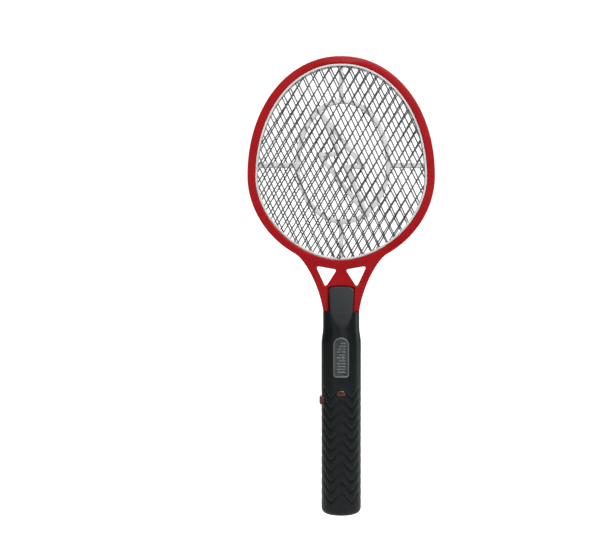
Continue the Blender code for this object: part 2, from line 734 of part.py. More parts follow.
def turned_slab(inner, outer):
    """A tube with the handle's flattened section, used to give thin covers its curve."""
    profile = [(inner, 200 * MM), (outer, 200 * MM), (outer, 60 * MM), (inner, 60 * MM),
               (inner, 200 * MM)]
    return turned(profile, flatten=HANDLE_FLATTEN)


def door_region(margin):
    """Space of the battery door: a panel of the rear wall, wider at the base for its rails."""
    width = DOOR_HALF_WIDTH + margin
    panel = box((-width, DOOR_INNER_Y - margin, -MM), (width, 30 * MM, DOOR_TOP + margin))
    width, inner, top = DOOR_FOOT
    width += margin
    return join(panel, box((-width, inner - margin, -2 * MM), (width, 28 * MM, top + margin)))


def whole_handle():
    handle = cut(handle_outer(), handle_cavity())
    slot = FRAME_HALF_DEPTH + GAP
    cut(handle, box((-30 * MM, -slot, SHOULDER_HEIGHT), (30 * MM, slot, 250 * MM)))
    width = TENON_HALF_WIDTH + GAP
    cut(handle, box((-width, -slot, SHOULDER_HEIGHT - 10 * MM), (width, slot, 250 * MM)))
    holes = [stepped_hole(x * MM, z * MM, 1.6 * MM, -8.0 * MM, 2.7 * MM, 8.0 * MM)
             for x, z in HANDLE_SCREWS]
    holes += [stepped_hole(x * MM, z * MM, 1.5 * MM, -9.8 * MM, 2.4 * MM, 8.6 * MM)
              for x, z in TONGUE_SCREWS]
    return cut(handle, together(*holes))


def build_handle():
    button_hole = prism([button_outline(GAP)], -30 * MM, -8 * MM, axis="X")

    front = keep_inside(whole_handle(), half_space(-1))
    cut(front, button_hole)
    cut(front, prism([rectangle((0, LAMP_HEIGHT), (LAMP_SIZE[0] + 2 * GAP, LAMP_SIZE[1] + 2 * GAP),
                                LAMP_SIZE[1] / 2)], -30 * MM, -5 * MM))
    pilots = [cylinder((x * MM, z * MM), 1.3 * MM, -9.4 * MM, 0, sides=10)
              for x, z in BOARD_SCREWS]
    pilots += [cylinder((x, -6 * MM), 1.1 * MM, 66 * MM, 72 * MM, axis="Z", sides=10)
               for x in (-3.0 * MM, 3.0 * MM)]
    cut(front, together(*pilots))
    recess = prism([badge_outline(GAP)], -30 * MM, -5 * MM)
    keep_inside(recess, turned_slab(HANDLE_RADIUS - BADGE_THICK, HANDLE_RADIUS + 9 * MM))
    cut(front, recess)
    finish(front, "handle_front", "black_plastic")

    rear = keep_inside(whole_handle(), half_space(1))
    cut(rear, button_hole, door_region(GAP))
    finish(rear, "handle_rear", "black_plastic")


def build_battery_door():
    """Sliding door with its side rails, a snap tab at the top and three thumb grooves."""
    door = cut(handle_outer(), handle_cavity())
    keep_inside(door, door_region(0))
    foot, top = RAIL_Z
    for side in (-1, 1):
        near, far = sorted(side * x for x in RAIL_WEB_X)
        join(door, box((near, RAIL_Y[0] + 0.1 * MM, foot - MM), (far, 14.2 * MM, top + MM)))
        near, far = sorted((side * RAIL_WEB_X[0], side * RAIL_REACH))
        join(door, box((near, RAIL_Y[0], foot), (far, RAIL_Y[1], top)))
    half_width, inner, outer, top = SNAP_TAB
    root = half_width - 0.2 * MM
    join(door, box((-root, inner - 0.2 * MM, 59 * MM), (root, outer + 1.6 * MM, 66 * MM)))
    join(door, box((-half_width, inner, 60 * MM), (half_width, outer, top)))
    grooves, highest, pitch = THUMB_GROOVES
    groove_y = HANDLE_RADIUS * HANDLE_FLATTEN - 0.7 * MM
    for index in range(grooves):
        height = highest - index * pitch
        cut(door, box((-5 * MM, groove_y, height), (5 * MM, 25 * MM, height + 1.2 * MM)))
    finish(door, "battery_door", "black_plastic")


def build_button():
    """Thumb button with its retaining flange, the switch behind it and the return spring."""
    cap = prism([button_outline(0)], -30 * MM, FLANGE_X[0] + 0.4 * MM, axis="X")
    reach = HANDLE_RADIUS + BUTTON_PROUD
    keep_inside(cap, turned([(0, 140 * MM), (reach, 140 * MM), (reach, 90 * MM), (0, 90 * MM)],
                            steps=48, flatten=HANDLE_FLATTEN))
    join(cap, prism([button_outline(FLANGE_MARGIN)], *FLANGE_X, axis="X"))
    middle = (FLANGE_X[1], BUTTON_MIDDLE_Y, BUTTON_HEIGHT)
    finish(cap, "push_button", "button_plastic", origin=middle)

    face, plunger_y = -10.6 * MM, 2.4 * MM
    body = box((face, BOARD_Y[1] + GAP, 114.0 * MM), (-3.6 * MM, 5.9 * MM, 121.0 * MM))
    bore = cylinder((plunger_y, BUTTON_HEIGHT), 1.9 * MM, face - MM, face + 4 * MM, "X", sides=14)
    finish(cut(body, bore), "switch_body", "part_black")
    tip = FLANGE_X[1] + GAP
    plunger = cylinder((plunger_y, BUTTON_HEIGHT), 1.5 * MM, tip, face + 2 * MM, "X", sides=14)
    finish(plunger, "switch_plunger", "button_plastic", origin=(tip, plunger_y, BUTTON_HEIGHT))
    start = (face - 0.5 * MM, plunger_y, BUTTON_HEIGHT)
    length = abs(tip - face) - 1.0 * MM
    spring = wire(coil(start, (-1, 0, 0), (2.5 * MM, 2.5 * MM), length, 3), 0.15 * MM, 0)
    finish(spring, "button_spring", "bright_metal")


def build_front_trim():
    """Badge in its recess, lamp window and the lamp behind it."""
    badge = prism([badge_outline(0)], -30 * MM, -5 * MM)
    keep_inside(badge, turned_slab(HANDLE_RADIUS - BADGE_THICK + GAP, HANDLE_RADIUS + 0.4 * MM))
    finish(badge, "badge_plate", "black_plastic")

    window = prism([rectangle((0, LAMP_HEIGHT), LAMP_SIZE, LAMP_SIZE[1] / 2 - 0.1 * MM)],
                   -30 * MM, -5 * MM)
    slab = turned_slab(HANDLE_RADIUS - 2.6 * MM, HANDLE_RADIUS + 0.2 * MM)
    finish(keep_inside(window, slab), "lamp_window", "lamp_red")

    back = BOARD_Y[0] - GAP
    profile = [(0, 0), (1.9 * MM, 0), (1.9 * MM, -MM), (1.5 * MM, -MM), (1.5 * MM, -3.8 * MM),
               (1.1 * MM, -4.9 * MM), (0, -5.3 * MM)]
    towards_front = (Matrix.Translation((0, back, LAMP_HEIGHT))
                     @ Matrix.Rotation(math.radians(-90), 4, "X"))
    finish(turned(profile, steps=12, matrix=towards_front), "lamp_led", "lamp_red")


# --- batteries and electronics -----------------------------------------------------------------

def build_cell(name, side, nub_up):
    """AA cell standing in its cradle, with its nub up or down."""
    nub, shrink = 1.0 * MM, 0.4 * MM
    body = CELL_LENGTH - nub
    profile = [(0, CELL_LENGTH), (2.7 * MM, CELL_LENGTH), (2.7 * MM, body),
               (CELL_RADIUS - shrink, body), (CELL_RADIUS, body - shrink), (CELL_RADIUS, shrink),
               (CELL_RADIUS - shrink, 0), (0, 0)]
    place = Matrix.Translation((side * CELL_X, 0, CELL_FOOT))
    if not nub_up:
        place = place @ Matrix.Translation((0, 0, CELL_LENGTH)) @ Matrix.Rotation(math.pi, 4, "X")
    finish(turned(profile, steps=16, matrix=place), name, "cell_jacket")


def build_contacts():
    """Sheet contacts and coil springs at both ends of the cells."""
    foot, plate = 2.9 * MM, 0.5 * MM
    top = PARTITION[0] - GAP
    dome = 2.6 * MM
    bridge = box((-12 * MM, -4 * MM, foot), (12 * MM, 4 * MM, foot + plate))
    join(bridge, cylinder((-CELL_X, 0), 4 * MM, foot + 0.2 * MM, CELL_FOOT - GAP, "Z", 14, dome))
    finish(bridge, "contact_bridge", "bright_metal")

    cell_top = CELL_FOOT + CELL_LENGTH
    positive = box((3.2 * MM, -7.6 * MM, top - plate), (12 * MM, 4 * MM, top))
    cone = cylinder((CELL_X, 0), dome, cell_top + GAP, top - 0.2 * MM, "Z", 14, 4 * MM)
    finish(join(positive, cone), "contact_positive", "bright_metal")
    negative = box((-12 * MM, -7.6 * MM, top - plate), (-3.2 * MM, 4 * MM, top))
    finish(negative, "contact_negative", "bright_metal")

    thick = 0.35 * MM
    low = (CELL_X, 0, foot + plate + GAP + thick)
    rise = CELL_FOOT - GAP - thick - low[2]
    points = coil(low, (0, 0, 1), (4.6 * MM, 2.4 * MM), rise, 3)
    finish(wire(points, thick, 0), "contact_spring_lower", "bright_metal")
    low = (-CELL_X, 0, cell_top + GAP + thick)
    rise = top - plate - GAP - thick - low[2]
    points = coil(low, (0, 0, 1), (2.4 * MM, 4.6 * MM), rise, 4)
    finish(wire(points, thick, 0), "contact_spring_upper", "bright_metal")

    for name, x, material in (("battery_lead_positive", 3.0, "lamp_red"),
                              ("battery_lead_negative", -3.0, "part_black")):
        stops = [(x * 1.02, -6.0, PARTITION[0] / MM + 0.3), (x, -6.0, 72.0), (x * 1.5, -5.6, 82.0),
                 (x * 1.7, -4.4, 94.0)]
        finish(wire(smooth_route(stops, 3), 0.7 * MM), name, material)


def build_board():
    """Circuit board and the parts of the voltage booster on it."""
    half_width, foot, top = BOARD
    outline = rectangle((0, (foot + top) / 2), (2 * half_width, top - foot), MM, steps=2)
    board = prism([outline], *BOARD_Y)
    for x, z in BOARD_SCREWS:
        cut(board, cylinder((x * MM, z * MM), 1.3 * MM, -5 * MM, 5 * MM, sides=12))
    finish(board, "circuit_board", "board_green")

    back = BOARD_Y[1] + GAP       # components stand on the rear face

    def block(name, x, z, size, material, radius=0.6):
        outline = rectangle((x * MM, z * MM), (size[0] * MM, size[1] * MM), radius * MM, steps=2)
        return finish(prism([outline], back, back + size[2] * MM), name, material)

    ferrite = box((-6.5 * MM, back, 142.0 * MM), (6.5 * MM, back + 11 * MM, 155.0 * MM))
    cut(ferrite, box((-4.6 * MM, back - MM, 140 * MM), (4.6 * MM, back + 8.6 * MM, 157 * MM)))
    finish(ferrite, "transformer_core", "part_black")
    winding = cylinder((0, back + 4.3 * MM), 3.9 * MM, 141 * MM, 156 * MM, "Z", sides=16)
    flange = rectangle((0, back + 4.3 * MM), (8.4 * MM, 8.2 * MM), 0.8 * MM, steps=2)
    for low, high in ((141.0, 142.2), (154.8, 156.0)):
        join(winding, prism([flange], low * MM, high * MM, axis="Z"))
    finish(winding, "transformer_winding", "copper")

    block("storage_capacitor", 5.4, 131.5, (7.0, 15.0, 11.0), "film_brown", radius=1.6)
    block("boost_capacitor_1", -6.4, 131.5, (4.4, 9.0, 8.0), "film_brown", radius=1.2)
    block("boost_capacitor_2", -0.7, 131.5, (4.0, 9.0, 8.0), "film_brown", radius=1.2)
    transistor = cylinder((2.0 * MM, back + 2.4 * MM), 2.4 * MM, 110 * MM, 114.6 * MM, "Z", sides=16)
    cut(transistor, box((-MM, back + 3.6 * MM, 105 * MM), (6 * MM, 20 * MM, 120 * MM)))
    finish(transistor, "drive_transistor", "part_black")

    def axial(name, x, z, radius, length, material):
        body = cylinder((x * MM, back + radius * MM), radius * MM, (z - length / 2) * MM,
                        (z + length / 2) * MM, "Z", sides=10)
        return finish(body, name, material)

    for index, x in enumerate((-3.0, 0.6, 4.2), 1):
        axial(f"rectifier_diode_{index}", x, 161.6, 1.3, 5.2, "part_black")
    for name, x in (("bleed_resistor", -6.0), ("base_resistor", -2.8), ("lamp_resistor", 7.5)):
        axial(name, x, 107.0, 1.15, 6.3, "copper")


def build_all():
    build_frames()
    build_grid("grid_front", -1, FRONT_NODE, 0.0)
    build_grid("grid_rear", 1, REAR_NODE, REAR_TURN)
    build_rim_cover("rim_cover_front", -1)
    build_rim_cover("rim_cover_rear", 1)
    build_spacer()
    build_leads()
    build_screws()
    build_handle()
    build_battery_door()
    build_button()
    build_front_trim()
    build_cell("cell_left", -1, nub_up=False)
    build_cell("cell_right", 1, nub_up=True)
    build_contacts()
    build_board()


build_all()
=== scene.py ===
import math

import bmesh
import bpy
import numpy as np
from mathutils import Matrix, Vector, geometry


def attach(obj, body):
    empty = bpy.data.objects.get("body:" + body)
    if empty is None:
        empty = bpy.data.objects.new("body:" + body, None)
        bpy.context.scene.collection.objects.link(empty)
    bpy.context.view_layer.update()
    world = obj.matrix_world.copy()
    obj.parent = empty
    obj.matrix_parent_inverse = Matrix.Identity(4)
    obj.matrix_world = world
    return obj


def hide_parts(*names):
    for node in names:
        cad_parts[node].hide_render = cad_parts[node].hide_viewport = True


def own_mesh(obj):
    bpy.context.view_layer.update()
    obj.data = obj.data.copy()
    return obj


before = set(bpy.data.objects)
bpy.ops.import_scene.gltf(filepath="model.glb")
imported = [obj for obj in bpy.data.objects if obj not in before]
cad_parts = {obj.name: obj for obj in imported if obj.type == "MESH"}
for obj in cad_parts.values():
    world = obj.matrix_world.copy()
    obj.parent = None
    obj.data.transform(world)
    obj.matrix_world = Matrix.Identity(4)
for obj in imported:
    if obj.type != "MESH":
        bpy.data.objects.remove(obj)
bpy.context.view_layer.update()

# Looks of the electric fly swatter: fine versions of the pieces that show, and their procedural
# materials. Lengths are in millimetres unless a name says otherwise; MM turns them into metres.
MM = 0.001
GAP = 0.3                        # room between neighbouring pieces
HALVES_GAP = 0.02                # room on each side of the plane where front and rear part

# Egg outlines: half width, height of widest point, top, foot, upper power, lower power.
HEAD = (96.9, 349.2, 473.2, 256.0, 2.07, 1.955)
OPENING = (88.9, 347.5, 465.3, 262.2, 2.06, 1.84)
BRACE_RING = (47.0, 359.0, 427.0, 301.8, 2.05, 1.9)
BRACE_RING_X = 1.8
FRAME_HALF_DEPTH = 6.0
FRAME_LIP = 1.5
FRAME_ROUND = 1.15
SEAT_MARGIN = 2.6                # how far the grids and the spacer reach under the frame's lip

THROAT_TOP = 268.0
SHOULDER_HALF_WIDTH = 18.6
TENON_HALF_WIDTH = 12.5
TENON_FOOT = 191.0
ARM_FOOT_GAP = 0.04              # between the arms and the handle's shoulder
ARM_FOOT_PULL = (3.4, 26.0)      # curve handles that bend the arms: at the foot,
ARM_RING_PULL = 12.0             # and back along the ring
WINDOW_CORNERS = ((26.5, 256.2), (4.5, 252.4), (16.2, 234.2))
WINDOW_RADIUS = 1.7
CHANNEL_HALF = 3.0
BED_DEPTH = 2.2                  # shallow bed in the frame under the handle's tongue
BED_MARGIN = 1.3

STRAND_A = Vector((4.54, -10.0))
STRAND_B = Vector((-5.99, -9.46))
STRAND_WIDTH = 1.2
SHEET = 0.6
SHEET_ROUND = 0.11
HOLE_ROUND = 0.55
SMALLEST_HOLE = 4.0              # square millimetres; smaller ones at the rim stay solid
LATTICE_REACH = 26               # strands on each side of the node
FRONT_NODE = Vector((1.4, 360.5))
REAR_NODE = Vector((5.3, 365.6))
REAR_TURN = math.radians(1.75)
TERMINAL = (2.4, 265.6)
TAB_SIZE = (4.4, 6.4)
TAB_DROP = 1.4                   # from the terminal to the middle of its tab
TAB_RADIUS = 2.1
RIVET = (2.0, 1.05, 0.7, 0.8)    # head, shank and hole radius, shank length
RIVET_DOME = ((0, 0.62), (0.85, 0.66), (1.15, 0.84), (1.45, 0.9), (1.75, 0.78), (1.93, 0.48),
              (RIVET[0], 0.1), (RIVET[0], 0))
COVER_REACH = 2.3                # width of the pale ring over the strand ends
COVER_DEPTH = (4.55, 5.55)

SPACER_HALF_DEPTH = 3.3
SPACER_ROUND = 0.3
SPACER_RIM = 2.3
RIB_STEP = 0.1                   # each kind of rib is this much thinner than the one before
RING_RIB = 4.6
SPOKE = 4.6
SPOKE_HEIGHT = 360.3
SPOKE_LINE = (362.3, 362.9)      # thin line sunk along the upper edge of the level spokes
SPOKE_LINE_DEPTH = 0.5
BOLT_RIB = 4.2
BOLT = ((-21.1, 415.0), (22.6, 359.1), (5.5, 359.1), (26.8, 308.5), (-23.2, 371.5), (-3.0, 372.5))
LEAD_NOTCH = 1.1                 # half width of the notch for a lead to the terminal

HANDLE_RADIUS = 20.55
HANDLE_FLATTEN = 0.95
HANDLE_WALL = 2.2
BASE_ROUND = 6.5
TAPER = (176.0, 193.5)           # heights between which the body narrows to its neck
NECK_HALF_WIDTH = 18.85
SHOULDER_HEIGHT = 208.7
SHOULDER_ROUND = 0.3
TONGUE_TOP = 235.0
TONGUE_FOOT = (11.6, 207.6)      # half width and height where it leaves the body
TONGUE_HALF_WIDTH = 13.1
TONGUE_CROWN = 5.0               # height over which the tongue's top rounds off
TONGUE_ARCH = 2.35               # how far its arched top falls towards the sides
TONGUE_EDGE = 7.4                # depth of the tongue's flat at its top
TONGUE_EDGE_ROUND = 0.7
FACET_SLOPE = 0.231              # growth of that depth for each millimetre down

# Grip: arched grooves, each highest in the middle of the front and of the back.
GROOVE_FOOT = 25.0
GROOVE_PITCH = 10.68
GROOVES = 10
GROOVE_DEPTH = 0.55
ARCH_DROP = 10.1
ARCH_PERIOD = 66.0               # degrees of turn from one crest to the next

BUTTON_HEIGHT = 117.5
BUTTON_SIZE = (13.6, 8.8)
BUTTON_MIDDLE_Y = -2.5
BUTTON_PROUD = 2.1
BUTTON_RIB_PITCH = 1.25
BUTTON_RIB_DEPTH = 0.28
FLANGE_X = (-14.2, -13.0)
SPRING_FOOT = (-11.1, 2.4, 117.5)
SPRING_LENGTH = 1.1
SPRING_RADIUS = 2.5
SPRING_WIRE = 0.15
LAMP_HEIGHT = 125.6
LAMP_SIZE = (9.5, 5.4)
BADGE = (7.95, 142.2, 182.9)     # half width, foot, top
BADGE_THICK = 1.2
BADGE_RIM = ((0, 0.10), (-0.08, 0.24), (-0.25, 0.32), (-0.75, 0.32), (-0.95, 0.22), (-1.05, 0.02),
             (-1.2, -0.05))      # outline margin and lift off the handle, across the raised rim
BADGE_BARS = (4.4, 6.2, 7.4, 8.4, 7.0, 8.8, 6.4, 8.8, 7.6, 8.8, 8.0)      # lengths, top to foot
BADGE_BAR_TOP = (4.4, 177.0)     # right end of the top bar
BADGE_BAR_PITCH = 2.95
BADGE_BAR_HEIGHT = 1.2

CELL_RADIUS = 7.25
CELL_LENGTH = 50.5
CELL_X = 7.5
CELL_FOOT = 8.6
CONTACT_FOOT = 2.9
CONTACT_THICK = 0.5
CONTACT_WIRE = 0.35
CONTACT_RADII = (4.6, 2.4)
PARTITION = (68.5, 70.0)
DOOR_HALF_WIDTH = 13.0
DOOR_TOP = 67.0
DOOR_INNER_Y = 12.6
DOOR_FOOT = (15.3, 8.0, 8.7)     # half width, inner depth and top of its wider foot

HANDLE_SCREWS = ((-12.6, 84.0), (12.6, 84.0), (-12.6, 176.0), (12.6, 176.0))
TONGUE_SCREWS = ((-8.0, 219.0), (8.0, 219.0))
BOARD_SCREWS = ((-7.6, 100.5), (7.6, 161.5))
RING_SCREW_ANGLES = (-44, 0, 46, 134, 180, 224)
RING_SCREW_INSET = 3.35
RING_HOLE = (1.2, -3.2, 2.0, 4.3)          # radius, tip, head radius, depth of the head's seat
TONGUE_HOLE = (1.5, -9.8, 2.4, 8.6)
HANDLE_HOLE = (1.6, -8.0, 2.7, 8.0)
RING_SCREW = (4.6, 1.1, -2.8, 1.7, 0.9)    # under the head, head height, tip, head and shank radius
TONGUE_SCREW = (8.9, 1.5, -9.4, 2.1, 1.2)
HANDLE_SCREW = (8.3, 1.6, -7.6, 2.3, 1.3)
THREAD_PITCH = 0.9
BOARD_Y = -3.0                   # front face of the circuit board

BOSS_RADIUS = 3.2
BOARD_BOSS_RADIUS = 2.4
CELL_RIBS = (18, 46)             # feet of the ribs that the cells lie in
CELL_RIB_THICK = 1.6
WALL_STRAIGHT = 14               # height from which the handle's inner wall is straight
OUTSIDE = 30                     # a depth or half width well outside the handle

# Battery door. Rails are given for the +X side.
DOOR_RAIL = ((10.6, 8.3, 8), (12.2, 14.2, 60))
DOOR_RUNNER = ((10.6, 8.2, 9), (15.0, 9.6, 59))
DOOR_TAB = (((-3.3, 14.6, 59), (3.3, 17.8, 66)), ((-3.5, 14.8, 60), (3.5, 16.2, 72)))
THUMB_GROOVES = (3, 58.7, 3.0)   # count, highest middle, pitch
THUMB_GROOVE_SIZE = (11.0, 1.4)


# --- mesh tools ---------------------

def add_object(name, mesh):
    obj = bpy.data.objects.new(name, mesh)
    bpy.context.scene.collection.objects.link(obj)
    return obj


def tidy_mesh(mesh, weld=0.002):
    """Weld the mesh's doubles and point its faces outwards."""
    work = bmesh.new()
    work.from_mesh(mesh)
    bmesh.ops.remove_doubles(work, verts=work.verts, dist=weld)
    bmesh.ops.dissolve_degenerate(work, edges=work.edges, dist=weld * 0.5)
    bmesh.ops.recalc_face_normals(work, faces=work.faces)
    work.to_mesh(mesh)
    work.free()
    return mesh


def evaluated_mesh(obj):
    bpy.context.view_layer.update()
    depsgraph = bpy.context.evaluated_depsgraph_get()
    mesh = bpy.data.meshes.new_from_object(obj.evaluated_get(depsgraph))
    mesh.transform(obj.matrix_world)
    return mesh


def boolean(obj, operation, *others):
    """Boolean closed solids into obj, one after another, and drop them."""
    for other in others:
        modifier = obj.modifiers.new(operation, "BOOLEAN")
        modifier.operation = operation
        modifier.solver = "MANIFOLD"
        modifier.object = other
    mesh = evaluated_mesh(obj)
    obj.modifiers.clear()
    obj.data = mesh
    for other in others:
        bpy.data.objects.remove(other, do_unlink=True)
    return obj


def cut(obj, *others):
    return boolean(obj, "DIFFERENCE", *others)


def join(obj, *others):
    return boolean(obj, "UNION", *others)


def keep_inside(obj, other):
    return boolean(obj, "INTERSECT", other)


def on_side(side, near, far):
    """Two depths in front for side -1 or behind for side 1, the lower one first."""
    return sorted((side * near, side * far))


def copy_of(obj):
    return add_object(obj.name, obj.data.copy())


def box(low, high):
    low, high = Vector(low), Vector(high)
    work = bmesh.new()
    bmesh.ops.create_cube(work, size=1.0)
    bmesh.ops.scale(work, vec=high - low, verts=work.verts)
    bmesh.ops.translate(work, vec=(low + high) / 2, verts=work.verts)
    mesh = bpy.data.meshes.new("box")
    work.to_mesh(mesh)
    work.free()
    return add_object("box", mesh)


# Placements of a flat outline: its two coordinates are (y, z) for X and (x, z) for Y.
ALONG = {"X": Matrix(((0, 0, 1, 0), (1, 0, 0, 0), (0, 1, 0, 0), (0, 0, 0, 1))),
         "Y": Matrix(((1, 0, 0, 0), (0, 0, -1, 0), (0, 1, 0, 0), (0, 0, 0, 1)))}


def curve_mesh(lines, closed, **settings):
    """The mesh that a curve with these settings makes along the lines of points."""
    curve = bpy.data.curves.new("curve", "CURVE")
    for key, value in settings.items():
        setattr(curve, key, value)
    for line in lines:
        spline = curve.splines.new("POLY")
        spline.points.add(len(line) - 1)
        for point, place in zip(spline.points, line):
            point.co = (*place, 1.0)
        spline.use_cyclic_u = closed
    helper = add_object("curve", curve)
    mesh = evaluated_mesh(helper)
    bpy.data.objects.remove(helper, do_unlink=True)
    return mesh


def prism(outlines, low, high, axis="Y", rounding=0.0, resolution=2):
    """Filled outlines (the first outside, the rest holes) between two heights, edges rounded."""
    lines = [[(place[0], place[1], 0.0) for place in outline] for outline in outlines]
    mesh = curve_mesh(lines, True, dimensions="2D", fill_mode="BOTH", offset=-rounding,
                      extrude=(high - low) / 2 - rounding, bevel_depth=rounding,
                      bevel_resolution=resolution)
    shift = (low + high) / 2
    middle = {"X": (shift, 0, 0), "Y": (0, shift, 0)}[axis]
    mesh.transform(Matrix.Translation(middle) @ ALONG[axis])
    return add_object("prism", tidy_mesh(mesh))


def turned(profile, steps=48, matrix=Matrix.Identity(4)):
    """A closed solid from (radius, height) points between two points on the axis."""
    rings = []
    for radius, height in profile[1:-1]:
        rings.append([(radius * math.cos(2 * math.pi * i / steps),
                       radius * math.sin(2 * math.pi * i / steps), height) for i in range(steps)])
    obj = loft("turned", rings, ends=((0, 0, profile[0][1]), (0, 0, profile[-1][1])))
    obj.data.transform(matrix)
    return obj


def across(x, z):
    """Placement that turns a profile's height axis to point along +Y."""
    return Matrix.Translation((x, 0, z)) @ Matrix.Rotation(math.radians(-90), 4, "X")


def upright(x, y, radius, low, high, steps=24):
    """A round bar along Z."""
    return turned([(0, high), (radius, high), (radius, low), (0, low)], steps,
                  Matrix.Translation((x, y, 0)))


def cylinder(x, z, radius, low, high, steps=24):
    """A round bar along Y."""
    return turned([(0, high), (radius, high), (radius, low), (0, low)], steps, across(x, z))


def stepped_hole(x, z, radius, tip_y, head_radius, head_y):
    """Cutter for a screw hole along Y, with a wider counterbore behind head_y."""
    return turned([(0, OUTSIDE), (head_radius, OUTSIDE), (head_radius, head_y), (radius, head_y),
                   (radius, tip_y), (0, tip_y)], 32, across(x, z))


def loft(name, loops, ends=None):
    """A closed solid through equal loops of points, with a fan at each end."""
    count = len(loops[0])
    points = [tuple(point) for loop in loops for point in loop]
    faces = []
    for level in range(len(loops) - 1):
        near, far = level * count, (level + 1) * count
        for i in range(count):
            after = (i + 1) % count
            faces.append((near + i, near + after, far + after, far + i))
    if ends is None:
        ends = [tuple(np.mean(np.array([tuple(p) for p in loop]), axis=0))
                for loop in (loops[0], loops[-1])]
    for end, level in zip(ends, (0, len(loops) - 1)):
        points.append(end)
        hub, first = len(points) - 1, level * count
        faces += [(hub, first + i, first + (i + 1) % count) for i in range(count)]
    mesh = bpy.data.meshes.new(name)
    mesh.from_pydata(points, [], faces)
    return add_object(name, tidy_mesh(mesh))


def wire(points, radius):
    """A round wire through the points, with closed ends."""
    mesh = curve_mesh([points], False, dimensions="3D", bevel_depth=radius, bevel_resolution=2,
                      use_fill_caps=True)
    return add_object("wire", tidy_mesh(mesh))


def finish(obj, node, material, smooth_angle=32, body="root"):
    """Scale to metres, shade, give the material, and stand for the CAD node on its body."""
    obj.data.transform(Matrix.Scale(MM, 4))
    obj.name = obj.data.name = "visual_" + node
    obj.data.materials.clear()
    obj.data.materials.append(material)
    obj.data.shade_smooth()
    obj.data.set_sharp_from_angle(angle=math.radians(smooth_angle))
    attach(obj, body)
    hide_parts(node)


# --- outlines ---------------------

def egg(shape, offset=0.0, count=240, start=0.0, end=360.0, closed=True):
    """Points round an egg outline from its +X side, moved outwards by the offset."""
    half_width, widest, top, foot, upper_power, lower_power = shape

    def place(angle):
        sine, cosine = math.sin(angle), math.cos(angle)
        power = upper_power if sine >= 0 else lower_power
        reach = (top - widest) if sine >= 0 else (widest - foot)
        x = half_width * math.copysign(abs(cosine) ** (2 / power), cosine)
        return Vector((x, widest + reach * math.copysign(abs(sine) ** (2 / power), sine)))

    points = []
    for step in range(count if closed else count + 1):
        angle = math.radians(start + (end - start) * step / count)
        along = place(angle + 0.01) - place(angle - 0.01)
        outward = Vector((along.y, -along.x)).normalized()
        points.append(place(angle) + outward * offset)
    return points


def rounded(corners, radius, steps=8):
    """A closed outline with each corner replaced by an arc of the radius."""
    outline = []
    for index, corner in enumerate(corners):
        corner = Vector(corner)
        to_last = (Vector(corners[index - 1]) - corner).normalized()
        to_next = (Vector(corners[(index + 1) % len(corners)]) - corner).normalized()
        half = to_last.angle(to_next) / 2
        reach = radius / math.tan(half)
        centre = corner + (to_last + to_next).normalized() * radius / math.sin(half)
        start = corner + to_last * reach - centre
        turn = start.angle_signed(corner + to_next * reach - centre)
        for step in range(steps + 1):
            arm = start.copy()
            arm.rotate(Matrix.Rotation(-turn * step / steps, 2))
            outline.append(centre + arm)
    return outline


def rectangle(centre, size, radius, steps=8):
    """A rectangle with rounded corners."""
    x, z = centre
    w, h = size[0] / 2, size[1] / 2
    return rounded([(x - w, z - h), (x + w, z - h), (x + w, z + h), (x - w, z + h)], radius, steps)


def clipped(polygon, boundary):
    """The part of a convex polygon inside a convex boundary that runs anticlockwise."""
    for index, start in enumerate(boundary):
        along = boundary[(index + 1) % len(boundary)] - start
        depth = [along.cross(point - start) for point in polygon]
        if min(depth) >= 0:
            continue
        kept = []
        for here, point in enumerate(polygon):
            before = polygon[here - 1]
            if (depth[here] >= 0) != (depth[here - 1] >= 0):
                share = depth[here - 1] / (depth[here - 1] - depth[here])
                kept.append(before.lerp(point, share))
            if depth[here] >= 0:
                kept.append(point)
        polygon = kept
        if len(polygon) < 3:
            return []
    return polygon


def area(polygon):
    return sum(polygon[i - 1].cross(polygon[i]) for i in range(len(polygon))) / 2


# --- materials ---------------------

